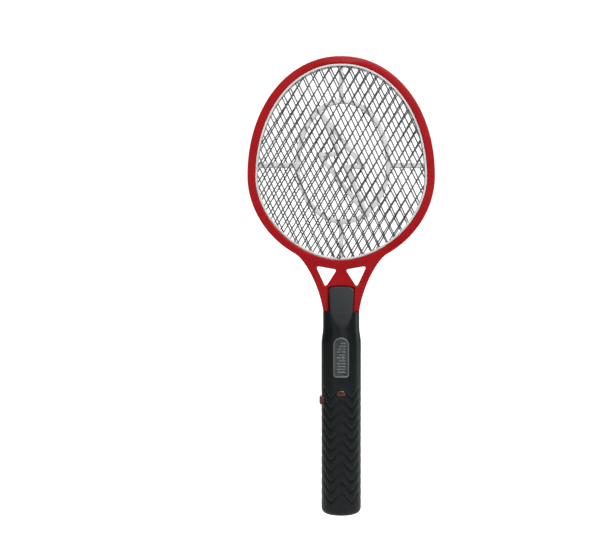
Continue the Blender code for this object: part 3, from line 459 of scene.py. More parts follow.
class Look:
    """A Principled material whose nodes are added one line at a time."""

    def __init__(self, name):
        self.material = bpy.data.materials.new("look_" + name)
        self.material.use_nodes = True
        self.tree = self.material.node_tree
        self.shader = self.tree.nodes["Principled BSDF"]
        self.place = self.add("ShaderNodeTexCoord").outputs["Object"]

    def add(self, kind, settings=None, **inputs):
        node = self.tree.nodes.new(kind)
        for key, value in (settings or {}).items():
            setattr(node, key, value)
        for key, value in inputs.items():
            name = int(key[1:]) if key[0] == "i" and key[1:].isdigit() else key.replace("_", " ")
            self.feed(node.inputs[name], value)
        return node

    def feed(self, socket, value):
        if isinstance(value, bpy.types.NodeSocket):
            self.tree.links.new(value, socket)
        elif isinstance(value, (tuple, list)) and len(value) == 3 and socket.type == "RGBA":
            socket.default_value = (*value, 1.0)
        else:
            socket.default_value = value

    def set(self, **inputs):
        for key, value in inputs.items():
            self.feed(self.shader.inputs[key.replace("_", " ")], value)
        return self

    def stretched(self, scale):
        return self.add("ShaderNodeMapping", Vector=self.place, Scale=scale).outputs["Vector"]

    def noise(self, grain_mm, detail=3.0, roughness=0.55, vector=None):
        """Noise whose features are about grain_mm across."""
        return self.add("ShaderNodeTexNoise", Vector=vector or self.place, Scale=1000 / grain_mm,
                        Detail=detail, Roughness=roughness).outputs["Fac"]

    def cells(self, grain_mm, feature="F1"):
        return self.add("ShaderNodeTexVoronoi", {"feature": feature}, Vector=self.place,
                        Scale=1000 / grain_mm).outputs["Distance"]

    def ramp(self, value, *stops):
        """Colour ramp through (position, colour) stops; colours may be plain numbers."""
        node = self.add("ShaderNodeValToRGB", Fac=value)
        elements = node.color_ramp.elements
        while len(elements) < len(stops):
            elements.new(0.5)
        for element, (position, colour) in zip(elements, stops):
            if isinstance(colour, (int, float)):
                colour = (colour,) * 3
            element.position = position
            element.color = (*colour, 1.0)
        return node.outputs["Color"]

    def mix(self, share, first, second):
        node = self.add("ShaderNodeMix", {"data_type": "RGBA"})
        self.feed(node.inputs["Factor"], share)
        self.feed(node.inputs[6], first)
        self.feed(node.inputs[7], second)
        return node.outputs[2]

    def span(self, value, low, high, from_low=0.3, from_high=0.7):
        return self.add("ShaderNodeMapRange", Value=value, From_Min=from_low, From_Max=from_high,
                        To_Min=low, To_Max=high).outputs["Result"]

    def sums(self, first, second, operation="ADD"):
        node = self.add("ShaderNodeMath", {"operation": operation})
        self.feed(node.inputs[0], first)
        self.feed(node.inputs[1], second)
        return node.outputs[0]

    def edges(self, low, high):
        """Mask of convex edges, 1 on them and 0 on flat faces: worn edges, and on the badge a
        painted highlight.
        """
        pointed = self.add("ShaderNodeNewGeometry").outputs["Pointiness"]
        return self.add("ShaderNodeMapRange", Value=pointed, From_Min=low,
                        From_Max=high).outputs["Result"]

    def specks(self, grain_mm, low, high, detail=5.0, roughness=0.7, stretch=None):
        """Mask of scattered spots or scratches, where noise rises from low to high."""
        vector = self.stretched(stretch) if stretch else None
        return self.ramp(self.noise(grain_mm, detail, roughness, vector), (low, 0.0), (high, 1.0))

    def mottled(self, grain_mm, dark, light, detail=3.0, roughness=0.55):
        """Cloudy noise, and a colour that wanders between two tones with it."""
        cloudy = self.noise(grain_mm, detail, roughness)
        return cloudy, self.mix(self.span(cloudy, 0, 1), dark, light)

    def over(self, base, mask, share, colour):
        """The base colour with a share of another one where the mask is set."""
        return self.mix(self.sums(mask, share, "MULTIPLY"), base, colour)

    def bump(self, height, depth_mm, strength=1.0, under=None):
        node = self.add("ShaderNodeBump", Height=height, Strength=strength,
                        Distance=depth_mm * MM)
        if under is not None:
            self.feed(node.inputs["Normal"], under)
        self.feed(self.shader.inputs["Normal"], node.outputs["Normal"])
        return node.outputs["Normal"]


def red_plastic():
    look = Look("red_plastic")
    cloudy, base = look.mottled(38, (0.335, 0.0065, 0.0095), (0.385, 0.009, 0.0125), 4.0)
    flow = look.noise(14, vector=look.stretched((1.0, 1.0, 0.18)))
    base = look.mix(look.span(flow, 0.0, 0.35, 0.5, 0.8), base, (0.29, 0.005, 0.008))
    base = look.over(base, look.edges(0.51, 0.6), 0.22, (0.46, 0.035, 0.04))
    scuffs = look.specks(2.2, 0.60, 0.72, stretch=(1, 1, 0.25))
    rough = look.sums(look.span(cloudy, 0.24, 0.30), look.sums(scuffs, 0.05, "MULTIPLY"))
    look.set(Base_Color=base, Roughness=rough, Specular_IOR_Level=0.2)
    peel = look.bump(look.noise(1.1, 2.0), 0.02, 0.55)
    look.bump(look.noise(0.32, 2.0), 0.006, 0.5, under=peel)
    return look.material


def black_plastic():
    look = Look("black_plastic")
    cloudy, base = look.mottled(26, (0.0042, 0.0066, 0.0074), (0.0064, 0.0092, 0.0102), 4.0)
    base = look.over(base, look.edges(0.52, 0.62), 0.2, (0.024, 0.029, 0.031))
    dust = look.specks(0.9, 0.66, 0.76, 4.0)
    base = look.over(base, dust, 0.22, (0.034, 0.038, 0.040))
    rough = look.sums(look.span(cloudy, 0.28, 0.35), look.sums(dust, 0.10, "MULTIPLY"))
    look.set(Base_Color=base, Roughness=rough, Specular_IOR_Level=0.34)
    leather = look.bump(look.cells(0.55, "SMOOTH_F1"), 0.035, 0.55)
    look.bump(look.noise(0.22, 2.0), 0.008, 0.5, under=leather)
    return look.material


def badge_plastic():
    look = Look("badge_plastic")
    cloudy, base = look.mottled(9, (0.034, 0.042, 0.042), (0.052, 0.062, 0.061))
    # Painted highlight: the rim's crest and the bars' edges are lightened to pale grey.
    base = look.over(base, look.edges(0.505, 0.55), 0.85, (0.24, 0.26, 0.26))
    look.set(Base_Color=base, Roughness=look.span(cloudy, 0.26, 0.36))
    look.bump(look.noise(0.3, 2.0), 0.008, 0.5)
    return look.material


def spacer_plastic():
    look = Look("spacer_plastic")
    cloudy, base = look.mottled(18, (0.60, 0.60, 0.60), (0.68, 0.68, 0.67))
    base = look.over(base, look.specks(0.8, 0.68, 0.78, 3.0, 0.6), 0.25, (0.42, 0.41, 0.39))
    look.set(Base_Color=base, Roughness=look.span(cloudy, 0.42, 0.52), Subsurface_Weight=0.12,
             Subsurface_Radius=(1.0, 0.9, 0.85), Subsurface_Scale=0.002)
    look.bump(look.noise(0.5, 2.0), 0.01, 0.5)
    return look.material


def grid_metal():
    look = Look("grid_metal")
    cloudy, base = look.mottled(11, (0.060, 0.064, 0.070), (0.105, 0.110, 0.118), 4.0, 0.65)
    spangle = look.cells(3.2)
    base = look.mix(look.span(spangle, 0.0, 0.35, 0.2, 0.8), base, (0.16, 0.165, 0.175))
    base = look.over(base, look.specks(1.3, 0.62, 0.72), 0.55, (0.035, 0.034, 0.034))
    look.set(Base_Color=base, Metallic=0.82, Roughness=look.span(cloudy, 0.34, 0.52))
    drawn = look.noise(0.35, 2.0, vector=look.stretched((1, 1, 0.3)))
    look.bump(drawn, 0.012, 0.6)
    return look.material


def bright_metal():
    look = Look("bright_metal")
    cloudy, base = look.mottled(2.4, (0.52, 0.51, 0.49), (0.68, 0.67, 0.64), 4.0, 0.65)
    base = look.over(base, look.specks(0.8, 0.62, 0.74, 4.0), 0.5, (0.22, 0.20, 0.17))
    look.set(Base_Color=base, Metallic=1.0, Roughness=look.span(cloudy, 0.22, 0.38))
    look.bump(look.noise(0.25, 2.0, vector=look.stretched((1, 1, 4))), 0.006, 0.6)
    return look.material


def button_plastic():
    look = Look("button_plastic")
    cloudy, base = look.mottled(5, (0.105, 0.010, 0.010), (0.145, 0.016, 0.014))
    base = look.over(base, look.edges(0.51, 0.58), 0.5, (0.22, 0.05, 0.045))
    look.set(Base_Color=base, Roughness=look.span(cloudy, 0.32, 0.44))
    look.bump(look.noise(0.3, 2.0), 0.01, 0.5)
    return look.material


def lamp_plastic():
    look = Look("lamp_plastic")
    cloudy, base = look.mottled(3, (0.075, 0.020, 0.017), (0.115, 0.030, 0.025), 2.0)
    look.set(Base_Color=base, Roughness=look.span(cloudy, 0.14, 0.24), IOR=1.49,
             Transmission_Weight=0.25, Coat_Weight=0.4, Coat_Roughness=0.08)
    look.bump(look.cells(0.8), 0.02, 0.35)
    return look.material


def board_green():
    look = Look("board_green")
    grain, base = look.mottled(1.6, (0.010, 0.085, 0.030), (0.018, 0.125, 0.045))
    tracks = look.ramp(look.cells(4.5, "DISTANCE_TO_EDGE"), (0.06, 1.0), (0.10, 0.0))
    base = look.over(base, tracks, 0.4, (0.05, 0.20, 0.07))
    look.set(Base_Color=base, Roughness=look.span(grain, 0.30, 0.45))
    look.bump(tracks, 0.03, 0.5)
    return look.material


def part_finish(name, dark, light, roughness=(0.3, 0.45), metallic=0.0, grain=1.6, depth=0.01):
    """A small part's finish: two mottled tones with a fine bump."""
    look = Look(name)
    cloudy, base = look.mottled(grain, dark, light)
    look.set(Base_Color=base, Metallic=metallic, Roughness=look.span(cloudy, *roughness))
    look.bump(look.noise(grain / 5, 2.0), depth, 0.5)
    return look.material


def copper_wire():
    look = Look("copper_wire")
    turns = look.add("ShaderNodeTexWave", {"bands_direction": "Z"}, Vector=look.place,
                     Scale=620.0, Distortion=0.4).outputs["Fac"]
    base = look.mix(turns, (0.30, 0.10, 0.04), (0.62, 0.27, 0.12))
    look.set(Base_Color=base, Metallic=0.85, Roughness=look.span(turns, 0.28, 0.4, 0, 1))
    look.bump(turns, 0.12, 0.8)
    return look.material


def cell_jacket():
    """Plain foil sleeve: dark lower part and a lighter band near the top, with fine scratches."""
    look = Look("cell_jacket")
    height = look.add("ShaderNodeSeparateXYZ", Vector=look.place).outputs["Z"]
    band = look.ramp(look.span(height, 0, 1, 0.0086, 0.0591), (0.0, (0.05, 0.055, 0.06)),
                     (0.30, (0.05, 0.055, 0.06)), (0.305, (0.24, 0.25, 0.26)),
                     (1.0, (0.26, 0.27, 0.28)))
    scratch = look.specks(1.2, 0.60, 0.70, stretch=(1, 1, 0.2))
    base = look.over(band, scratch, 0.25, (0.5, 0.5, 0.5))
    look.set(Base_Color=base, Metallic=0.55, Roughness=look.span(scratch, 0.24, 0.4, 0, 1))
    look.bump(look.noise(0.5, 2.0), 0.008, 0.4)
    return look.material


def lead_sheath(name, dark, light):
    return part_finish(name, dark, light, roughness=(0.35, 0.5), grain=3.0, depth=0.02)


def studio_white():
    look = Look("studio_white")
    cloudy, base = look.mottled(600, (0.40, 0.40, 0.395), (0.44, 0.44, 0.435), 2.0)
    look.set(Base_Color=base, Roughness=look.span(cloudy, 0.75, 0.85), Specular_IOR_Level=0.1)
    seen = look.add("ShaderNodeLightPath").outputs["Is Camera Ray"]
    look.set(Emission_Color=(0.982, 0.99, 0.975),
             Emission_Strength=look.sums(seen, 0.9, "MULTIPLY"))
    look.bump(look.noise(4, 2.0), 0.05, 0.2)
    return look.material


RED = red_plastic()
BLACK = black_plastic()
BADGE_FINISH = badge_plastic()
PALE = spacer_plastic()
GRID = grid_metal()
STEEL = bright_metal()
BUTTON_RED = button_plastic()
LAMP = lamp_plastic()
# Painted reflection: the rivets are bright metal, but their colour is painted dark for the dim
# surroundings they mirror.
RIVET_PAINTED_DARK_METAL = part_finish("rivet_painted_dark_metal", (0.035, 0.036, 0.038), (0.10, 0.10, 0.105), (0.25, 0.4),
                          metallic=0.9, grain=0.9)


# --- head ---------------------

def frame_outline():
    """Outline of the red frame: egg ring, arms down to the shoulder, and the tenon."""
    right = [point for point in egg(HEAD, count=150, start=-90, end=90, closed=False)
             if point.y > THROAT_TOP and point.x > 0.1 or point.y > HEAD[1]]
    leave = right[0]
    slope = (right[1] - right[0]).normalized()
    foot = Vector((SHOULDER_HALF_WIDTH, SHOULDER_HEIGHT + ARM_FOOT_GAP))
    bends = (foot, foot + Vector(ARM_FOOT_PULL), leave - slope * ARM_RING_PULL, leave)
    arm = geometry.interpolate_bezier(*[point.to_3d() for point in bends], 41)
    side = [Vector((TENON_HALF_WIDTH, TENON_FOOT)), Vector((TENON_HALF_WIDTH, foot.y + GAP))]
    side += [point.to_2d() for point in arm[:-1]] + right[:-1]
    left = [Vector((-point.x, point.y)) for point in reversed(side)]
    return side + [right[-1]] + left


def half_space(side):
    low, high = on_side(side, HALVES_GAP, 60)
    return box((-120, low, -20), (120, high, 500))


def ring_screw_places():
    return [tuple(egg(HEAD, offset=-RING_SCREW_INSET, count=1, start=angle)[0])
            for angle in RING_SCREW_ANGLES]


def tongue_outline(margin):
    """Outline of the handle's tongue, grown by the margin, for the shallow bed it lies in."""
    width, top = TONGUE_HALF_WIDTH + margin, TONGUE_TOP + margin
    arch = [(width * share, top - TONGUE_ARCH * share ** 2) for share in np.linspace(1, -1, 11)]
    foot, low = TONGUE_FOOT[0] + margin, TONGUE_FOOT[1] - 6
    return rounded([(-foot, low), (foot, low)] + arch, 1.6, steps=4)


def build_frames():
    """Red frame: one solid with its opening, windows, seats and holes, parted into two halves."""
    window = [rounded([(side * x, z) for x, z in WINDOW_CORNERS], WINDOW_RADIUS, 10)
              for side in (1, -1)]
    outlines = [frame_outline(), egg(OPENING)] + window
    whole = prism(outlines, -FRAME_HALF_DEPTH, FRAME_HALF_DEPTH, rounding=FRAME_ROUND,
                  resolution=4)
    depth = FRAME_HALF_DEPTH - FRAME_LIP
    cut(whole, prism([egg(OPENING, SEAT_MARGIN)], -depth, depth),
        box((-CHANNEL_HALF, -CHANNEL_HALF, TENON_FOOT - 1),
            (CHANNEL_HALF, CHANNEL_HALF, OPENING[3] - 0.5)))
    for x, z in ring_screw_places():
        cut(whole, stepped_hole(x, z, *RING_HOLE))
    for x, z in TONGUE_SCREWS:
        cut(whole, cylinder(x, z, TONGUE_HOLE[0], -8, 8))
    for side in (-1, 1):
        low, high = on_side(side, FRAME_HALF_DEPTH - BED_DEPTH, FRAME_HALF_DEPTH + 3)
        cut(whole, prism([tongue_outline(BED_MARGIN)], low, high))
    for name, side in (("frame_front", -1), ("frame_rear", 1)):
        half = keep_inside(copy_of(whole), half_space(side))
        finish(half, name, RED)
    bpy.data.objects.remove(whole, do_unlink=True)


def diamond_holes(node, turn, boundary):
    """Holes of one grid: the lattice cells, less the strands, inside the boundary."""
    spin = Matrix.Rotation(turn, 2)
    step_a, step_b = spin @ STRAND_A, spin @ STRAND_B
    cell_area = abs(step_a.cross(step_b))
    inset_a = STRAND_WIDTH / 2 / (cell_area / step_b.length)
    inset_b = STRAND_WIDTH / 2 / (cell_area / step_a.length)
    holes = []
    for i in range(-LATTICE_REACH, LATTICE_REACH):
        for j in range(-LATTICE_REACH, LATTICE_REACH):
            low_a, high_a = i + inset_a, i + 1 - inset_a
            low_b, high_b = j + inset_b, j + 1 - inset_b
            corners = ((low_a, low_b), (low_a, high_b), (high_a, high_b), (high_a, low_b))
            cell = [node + step_a * a + step_b * b for a, b in corners]
            if area(cell) < 0:
                cell.reverse()
            hole = clipped(cell, boundary)
            if not hole or area(hole) < SMALLEST_HOLE:
                continue
            whole = area(hole) > area(cell) - 0.001
            holes.append(rounded(hole, HOLE_ROUND, 3) if whole else hole)
    return holes


def build_grid(name, side, node, turn):
    """One expanded-metal grid with its terminal tab, and the rivet on it."""
    near = SPACER_HALF_DEPTH + GAP
    low, high = on_side(side, near, near + SHEET)
    holes = diamond_holes(node, turn, egg(OPENING, 0.6, count=120))
    grid = prism([egg(OPENING, SEAT_MARGIN - GAP)] + holes, low, high, rounding=SHEET_ROUND,
                 resolution=0)
    place = (side * TERMINAL[0], TERMINAL[1])
    tab = rectangle((place[0], place[1] - TAB_DROP), TAB_SIZE, TAB_RADIUS)
    join(grid, prism([tab], low - 0.03, high + 0.03))
    head_radius, shank_radius, hole_radius, shank = RIVET
    cut(grid, cylinder(*place, shank_radius + GAP, low - 1, high + 1))
    finish(grid, name, GRID, 50)

    profile = [*RIVET_DOME, (shank_radius, 0), (shank_radius, -shank), (0, -shank)]
    outer = side * near + side * (SHEET + GAP)
    towards = (Matrix.Translation((place[0], outer, place[1]))
               @ Matrix.Rotation(math.radians(-90 * side), 4, "X"))
    rivet = cut(turned(profile, 40, towards), cylinder(*place, hole_radius, -10, 10, 32))
    finish(rivet, name.replace("grid_", "grid_rivet_"), RIVET_PAINTED_DARK_METAL, 50)


def build_rim_cover(name, side):
    """Pale ring over the strand ends, notched where the rivet's head stands."""
    low, high = on_side(side, *COVER_DEPTH)
    cover = prism([egg(OPENING, -GAP), egg(OPENING, -COVER_REACH)], low, high, rounding=0.28,
                  resolution=3)
    cut(cover, cylinder(side * TERMINAL[0], TERMINAL[1], RIVET[0] + GAP, low - 1, high + 1, 40))
    finish(cover, name, PALE)


def bolt_bars():
    """Outlines of the bolt's straight bars, each carried half its width past its corners."""
    corners = [Vector(corner) for corner in BOLT]
    bars = []
    for index, start in enumerate(corners):
        end = corners[(index + 1) % len(corners)]
        along = (end - start).normalized() * BOLT_RIB / 2
        sideways = Vector((along.y, -along.x))
        bars.append([start - along - sideways, start - along + sideways,
                     end + along + sideways, end + along - sideways])
    return bars


def build_spacer():
    """Insulating spacer: rim, inner ring, four spokes and the bolt-shaped brace."""
    def plate(outlines, thinner):
        reach = SPACER_HALF_DEPTH - thinner * RIB_STEP
        return prism(outlines, -reach, reach, rounding=SPACER_ROUND)

    def spoke(low_x, high_x, low_z, high_z):
        return plate([[(low_x, low_z), (high_x, low_z), (high_x, high_z), (low_x, high_z)]], 2)

    spacer = plate([egg(OPENING, SEAT_MARGIN - GAP), egg(OPENING, -SPACER_RIM)], 0)
    shift = Vector((BRACE_RING_X, 0))
    ring = plate([[point + shift for point in egg(BRACE_RING, offset, count=180)]
                  for offset in (RING_RIB / 2, -RING_RIB / 2)], 1)
    half_width, _, top, foot = BRACE_RING[:4]
    middle = SPOKE / 2
    level = (SPOKE_HEIGHT - middle, SPOKE_HEIGHT + middle)
    spokes = [spoke(-middle, middle, top, OPENING[2] - 1),
              spoke(-middle, middle, OPENING[3] + 1, foot),
              spoke(half_width, OPENING[0] - 1, *level),
              spoke(1 - OPENING[0], -half_width + 2, *level)]
    join(spacer, ring, *spokes)
    line_floor = SPACER_HALF_DEPTH - 2 * RIB_STEP - SPOKE_LINE_DEPTH
    for low_x, high_x in ((half_width + 4, OPENING[0] - 3), (3 - OPENING[0], -half_width)):
        for side in (-1, 1):
            low_y, high_y = on_side(side, line_floor, 4)
            cut(spacer, box((low_x, low_y, SPOKE_LINE[0]), (high_x, high_y, SPOKE_LINE[1])))
    join(spacer, *[plate([bar], 3) for bar in bolt_bars()])
    for side in (-1, 1):
        low, high = on_side(side, 1.2, 4)
        x, foot = side * TERMINAL[0], OPENING[3]
        cut(spacer, box((x - LEAD_NOTCH, low, foot - 4), (x + LEAD_NOTCH, high, foot + 5)))
    finish(spacer, "grid_spacer", PALE)


# --- handle ---------------------

def smooth_step(value, low, high):
    share = np.clip((value - low) / (high - low), 0, 1)
    return share * share * (3 - 2 * share)


def soft_min(first, second, power=42.0):
    """The smaller of two lengths, blended where they cross so that the edge is rounded."""
    least = np.minimum(first, second)
    return least * ((first / least) ** -power + (second / least) ** -power) ** (-1 / power)


def body_radius(z):
    """Half width of the handle's body at a height, without its grooves."""
    share = np.clip((z - TAPER[0]) / (TAPER[1] - TAPER[0]), 0, 1)
    radius = HANDLE_RADIUS + (NECK_HALF_WIDTH - HANDLE_RADIUS) * (1 - np.cos(np.pi * share)) / 2
    below = np.clip(BASE_ROUND - z, 0, BASE_ROUND)
    return radius - BASE_ROUND + np.sqrt(BASE_ROUND ** 2 - below ** 2)


def facet_depth(z):
    """Depth of the sloped flats at the front and back of the tongue."""
    return TONGUE_EDGE + (TONGUE_TOP - z) * FACET_SLOPE


def skin(x, z):
    """Depth of the handle's smooth surface in front of its axis."""
    radius = body_radius(np.asarray(z, float))
    round_depth = HANDLE_FLATTEN * np.sqrt(np.maximum(radius ** 2 - np.square(x), 1.0))
    return soft_min(round_depth, facet_depth(z))


def groove(level, angle):
    """How far the surface dips, deepest on the groove lines and towards front and back."""
    phase = (level - GROOVE_FOOT) / GROOVE_PITCH
    dip = np.cos(np.pi * phase) ** 8
    inside = (phase > -0.5) & (phase < GROOVES + 0.5)
    return GROOVE_DEPTH * np.where(inside, dip, 0.0) * (0.62 + 0.4 * np.sin(angle) ** 8)


def arch(angle):
    """Drop of a groove line at an angle round the handle, from its crest at front and back."""
    from_crest = np.degrees(np.arccos(np.clip(np.abs(np.sin(angle)), 0, 1)))
    return ARCH_DROP * (1 - np.cos(2 * np.pi * from_crest / ARCH_PERIOD)) / 2


def levels():
    """Rows of the handle's surface, close together where it turns fast."""
    rows = list(np.linspace(0, 2, 9)) + list(np.linspace(2.4, 20, 28))
    shares = (0.0, 0.025, 0.06, 0.11, 0.18, 0.28, 0.40, 0.5, 0.60, 0.72, 0.82, 0.89, 0.94, 0.975)
    for index in range(-1, GROOVES + 1):
        foot = GROOVE_FOOT + GROOVE_PITCH * index
        pitch_rows = [foot + GROOVE_PITCH * share for share in shares]
        rows += [row for row in pitch_rows if row > 20.3]
    start = rows[-1] + 0.8
    rows += list(np.arange(start, SHOULDER_HEIGHT - 1.0, 1.0))
    rows += list(np.linspace(SHOULDER_HEIGHT - SHOULDER_ROUND, SHOULDER_HEIGHT, 6))
    return np.array(rows)


def turn_angles(count):
    """One row of angles round the handle's axis."""
    return np.linspace(0, 2 * np.pi, count, endpoint=False)[None, :]


def polar_solid(name, angle, radius, z):
    """A closed solid whose rows run round the handle's axis."""
    angle, z = np.broadcast_arrays(angle, z)
    x, y = radius * np.cos(angle), radius * np.sin(angle)
    loops = [list(zip(x[i], y[i], z[i])) for i in range(len(z))]
    ends = ((0, 0, float(z[0, 0])), (0, 0, float(z[-1, 0])))
    return loft(name, loops, ends)


def ellipse_radius(radius, angle):
    return radius / np.sqrt(np.cos(angle) ** 2 + (np.sin(angle) / HANDLE_FLATTEN) ** 2)


def handle_body(around=192):
    """The turned body with arched grooves and the two sloped flats, up to its shoulder."""
    level = levels()[:, None]
    angle = turn_angles(around)
    fade = smooth_step(level, 4.0, 23.0) * (1 - smooth_step(level, 134.0, 158.0))
    z = level - arch(angle) * fade
    radius = body_radius(z) - groove(level, angle)
    over = np.clip((z - (SHOULDER_HEIGHT - SHOULDER_ROUND)) / SHOULDER_ROUND, 0, 1)
    radius = radius - SHOULDER_ROUND * (1 - np.sqrt(1 - over ** 2))
    rho = ellipse_radius(radius, angle)
    rho = soft_min(rho, facet_depth(z) / np.maximum(np.abs(np.sin(angle)), 1e-3))
    return polar_solid("handle", angle, rho, z)


def tongue(around=256):
    """The tongue that clamps the frame: sides that lean in, arched top, sloped flats."""
    rows = [np.linspace(TONGUE_FOOT[1], 228, 26), np.linspace(228.6, 233.4, 13),
            np.linspace(233.6, TONGUE_TOP - 0.04, 10)]
    level = np.concatenate(rows)[:, None]
    angle = turn_angles(around)
    angle = angle - 0.22 * np.sin(4 * angle) / 4        # gathered near the section's corners
    lift = np.clip((level - (TONGUE_TOP - TONGUE_CROWN)) / TONGUE_CROWN, 0, 1)
    lean = np.clip((level - TONGUE_FOOT[1]) / (TONGUE_TOP - TONGUE_FOOT[1]), 0, 1)
    width = TONGUE_FOOT[0] + (TONGUE_HALF_WIDTH - TONGUE_FOOT[0]) * lean
    width = width * (1 - lift ** 2) ** (1 / 3.2)
    over = np.clip((level - (TONGUE_TOP - TONGUE_EDGE_ROUND)) / TONGUE_EDGE_ROUND, 0, 1)
    depth = facet_depth(level) - TONGUE_EDGE_ROUND * (1 - np.sqrt(1 - over ** 2))
    side = width / np.maximum(np.abs(np.cos(angle)), 1e-3)
    face = depth / np.maximum(np.abs(np.sin(angle)), 1e-3)
    return polar_solid("tongue", angle, soft_min(side, face, 60.0), level)


def cavity():
    """The hollow inside the handle, less the bosses, ribs and partition that stay."""
    rows = [np.linspace(HANDLE_WALL, HANDLE_WALL + BASE_ROUND, 10),
            np.linspace(WALL_STRAIGHT, TAPER[0], 12),
            np.linspace(TAPER[0] + 3, SHOULDER_HEIGHT - HANDLE_WALL, 12)]
    level = np.concatenate(rows)[:, None]
    angle = turn_angles(96)
    radius = body_radius(level - HANDLE_WALL * (level < WALL_STRAIGHT)) - HANDLE_WALL
    flat = (facet_depth(level) - HANDLE_WALL) / np.maximum(np.abs(np.sin(angle)), 1e-3)
    hollow = polar_solid("cavity", angle, soft_min(ellipse_radius(radius, angle), flat), level)
    fittings = [cylinder(x, z, BOSS_RADIUS, -25, 25) for x, z in HANDLE_SCREWS]
    fittings += [cylinder(x, z, BOARD_BOSS_RADIUS, -25, BOARD_Y - GAP) for x, z in BOARD_SCREWS]
    fittings.append(box((-25, -25, PARTITION[0]), (25, 0, PARTITION[1])))
    for foot in CELL_RIBS:
        rib = box((-25, -25, foot), (25, -2.5, foot + CELL_RIB_THICK))
        for x in (-CELL_X, CELL_X):
            cut(rib, upright(x, 0, CELL_RADIUS + 0.6, foot - 1, foot + 3, 48))
        fittings.append(rib)
    return cut(hollow, *fittings)


def button_outline(margin):
    """The button's outline in (y, z), grown by the margin."""
    size = (BUTTON_SIZE[0] + 2 * margin, BUTTON_SIZE[1] + 2 * margin)
    return rectangle((BUTTON_MIDDLE_Y, BUTTON_HEIGHT), size, 3.4 + margin)


def lamp_outline(margin):
    size = (LAMP_SIZE[0] + 2 * margin, LAMP_SIZE[1] + 2 * margin)
    return rectangle((0, LAMP_HEIGHT), size, LAMP_SIZE[1] / 2 + margin - 0.05, 12)


def badge_outline(margin):
    """Badge shape: a full round top and small round corners at the foot."""
    half_width, foot, top = BADGE
    crown_height = top - half_width
    half_width += margin
    crown = [(half_width * math.cos(math.radians(angle)),
              crown_height + half_width * math.sin(math.radians(angle)))
             for angle in range(0, 181, 5)]
    corner = max(3 + margin, 0.5)
    feet = []
    for side, turn in ((-1, 180), (1, 270)):
        centre = (side * (half_width - corner), foot - margin + corner)
        feet += [(centre[0] + corner * math.cos(math.radians(turn + step)),
                  centre[1] + corner * math.sin(math.radians(turn + step)))
                 for step in range(0, 91, 10)]
    return crown + feet


def shrunk(outline, share):
    centre = Vector((sum(p[0] for p in outline), sum(p[1] for p in outline))) / len(outline)
    return [centre + (Vector(p) - centre) * share for p in outline]


def on_skin(outline, lift):
    """The outline's points laid on the front of the handle, lifted off its surface."""
    return [(p[0], -float(skin(p[0], p[1])) - lift, p[1]) for p in outline]


def rising(outline, steps):
    """Loops of a solid on the handle's front, from (share of the outline, lift) steps."""
    return [on_skin(shrunk(outline, share) if share != 1 else outline, lift)
            for share, lift in steps]


def door_region(margin):
    """The space that the battery door takes from the rear shell."""
    width = DOOR_HALF_WIDTH + margin
    panel = box((-width, DOOR_INNER_Y - margin, -1), (width, 30, DOOR_TOP + margin))
    width, inner, top = DOOR_FOOT
    width += margin
    return join(panel, box((-width, inner - margin, -2), (width, 28, top + margin)))


def build_handle():
    """Front and rear shells with their openings, and the battery door cut from the same body."""
    outer = join(handle_body(), tongue())
    slot = FRAME_HALF_DEPTH + GAP
    width = TENON_HALF_WIDTH + GAP
    shell = copy_of(outer)
    cut(shell, cavity(), box((-30, -slot, SHOULDER_HEIGHT), (30, slot, 250)),
        box((-width, -slot, SHOULDER_HEIGHT - 10), (width, slot, 250)))
    for x, z in HANDLE_SCREWS:
        cut(shell, stepped_hole(x, z, *HANDLE_HOLE))
    for x, z in TONGUE_SCREWS:
        cut(shell, stepped_hole(x, z, *TONGUE_HOLE))
    cut(shell, prism([button_outline(GAP)], -OUTSIDE, -8, axis="X"))

    front = keep_inside(copy_of(shell), half_space(-1))
    cut(front, prism([lamp_outline(GAP)], -OUTSIDE, -5))
    for x, z in BOARD_SCREWS:
        cut(front, cylinder(x, z, 1.3, -9.4, 0))
    for x in (-3.0, 3.0):                            # battery leads pass the partition
        cut(front, upright(x, -6, 1.1, 66, 72))
    outline = badge_outline(GAP)
    floor = [on_skin(shrunk(outline, share), -BADGE_THICK) for share in (0.04, 0.3, 0.6, 0.85, 1)]
    cut(front, loft("recess", floor + [[(p[0], -OUTSIDE, p[1]) for p in outline]]))
    finish(front, "handle_front", BLACK)

    rear = keep_inside(shell, half_space(1))
    cut(rear, door_region(GAP))
    finish(rear, "handle_rear", BLACK)

    door = keep_inside(cut(outer, cavity()), door_region(0))
    for side in (-1, 1):
        for low, high in (DOOR_RAIL, DOOR_RUNNER):
            near, far = on_side(side, low[0], high[0])
            join(door, box((near, *low[1:]), (far, *high[1:])))
    join(door, *[box(low, high) for low, high in DOOR_TAB])
    count, highest, pitch = THUMB_GROOVES
    for index in range(count):
        thumb_groove = rectangle((0, highest - index * pitch), THUMB_GROOVE_SIZE, 0.68)
        cut(door, prism([thumb_groove], 18.6, 26))
    finish(door, "battery_door", BLACK, body="door")


def build_badge():
    """Badge: a raised rim round a sunken field that carries plain bars."""
    back = GAP - BADGE_THICK
    loops = rising(badge_outline(0), ((0.04, back), (0.5, back), (0.9, back), (1, back)))
    loops += [on_skin(badge_outline(margin), lift) for margin, lift in BADGE_RIM]
    margin, field = BADGE_RIM[-1]
    loops += rising(badge_outline(margin), [(share, field) for share in (0.9, 0.7, 0.5, 0.3, 0.1)])
    badge = loft("badge", loops)
    right, top = BADGE_BAR_TOP
    for index, width in enumerate(BADGE_BARS):
        outline = rectangle((right - width / 2, top - BADGE_BAR_PITCH * index),
                            (width, BADGE_BAR_HEIGHT), 0.45, 4)
        steps = ((0.05, -0.5), (1, -0.5), (1, 0.10), (0.96, 0.17), (0.05, 0.18))
        join(badge, loft("bar", rising(outline, steps)))
    finish(badge, "badge_plate", BADGE_FINISH)


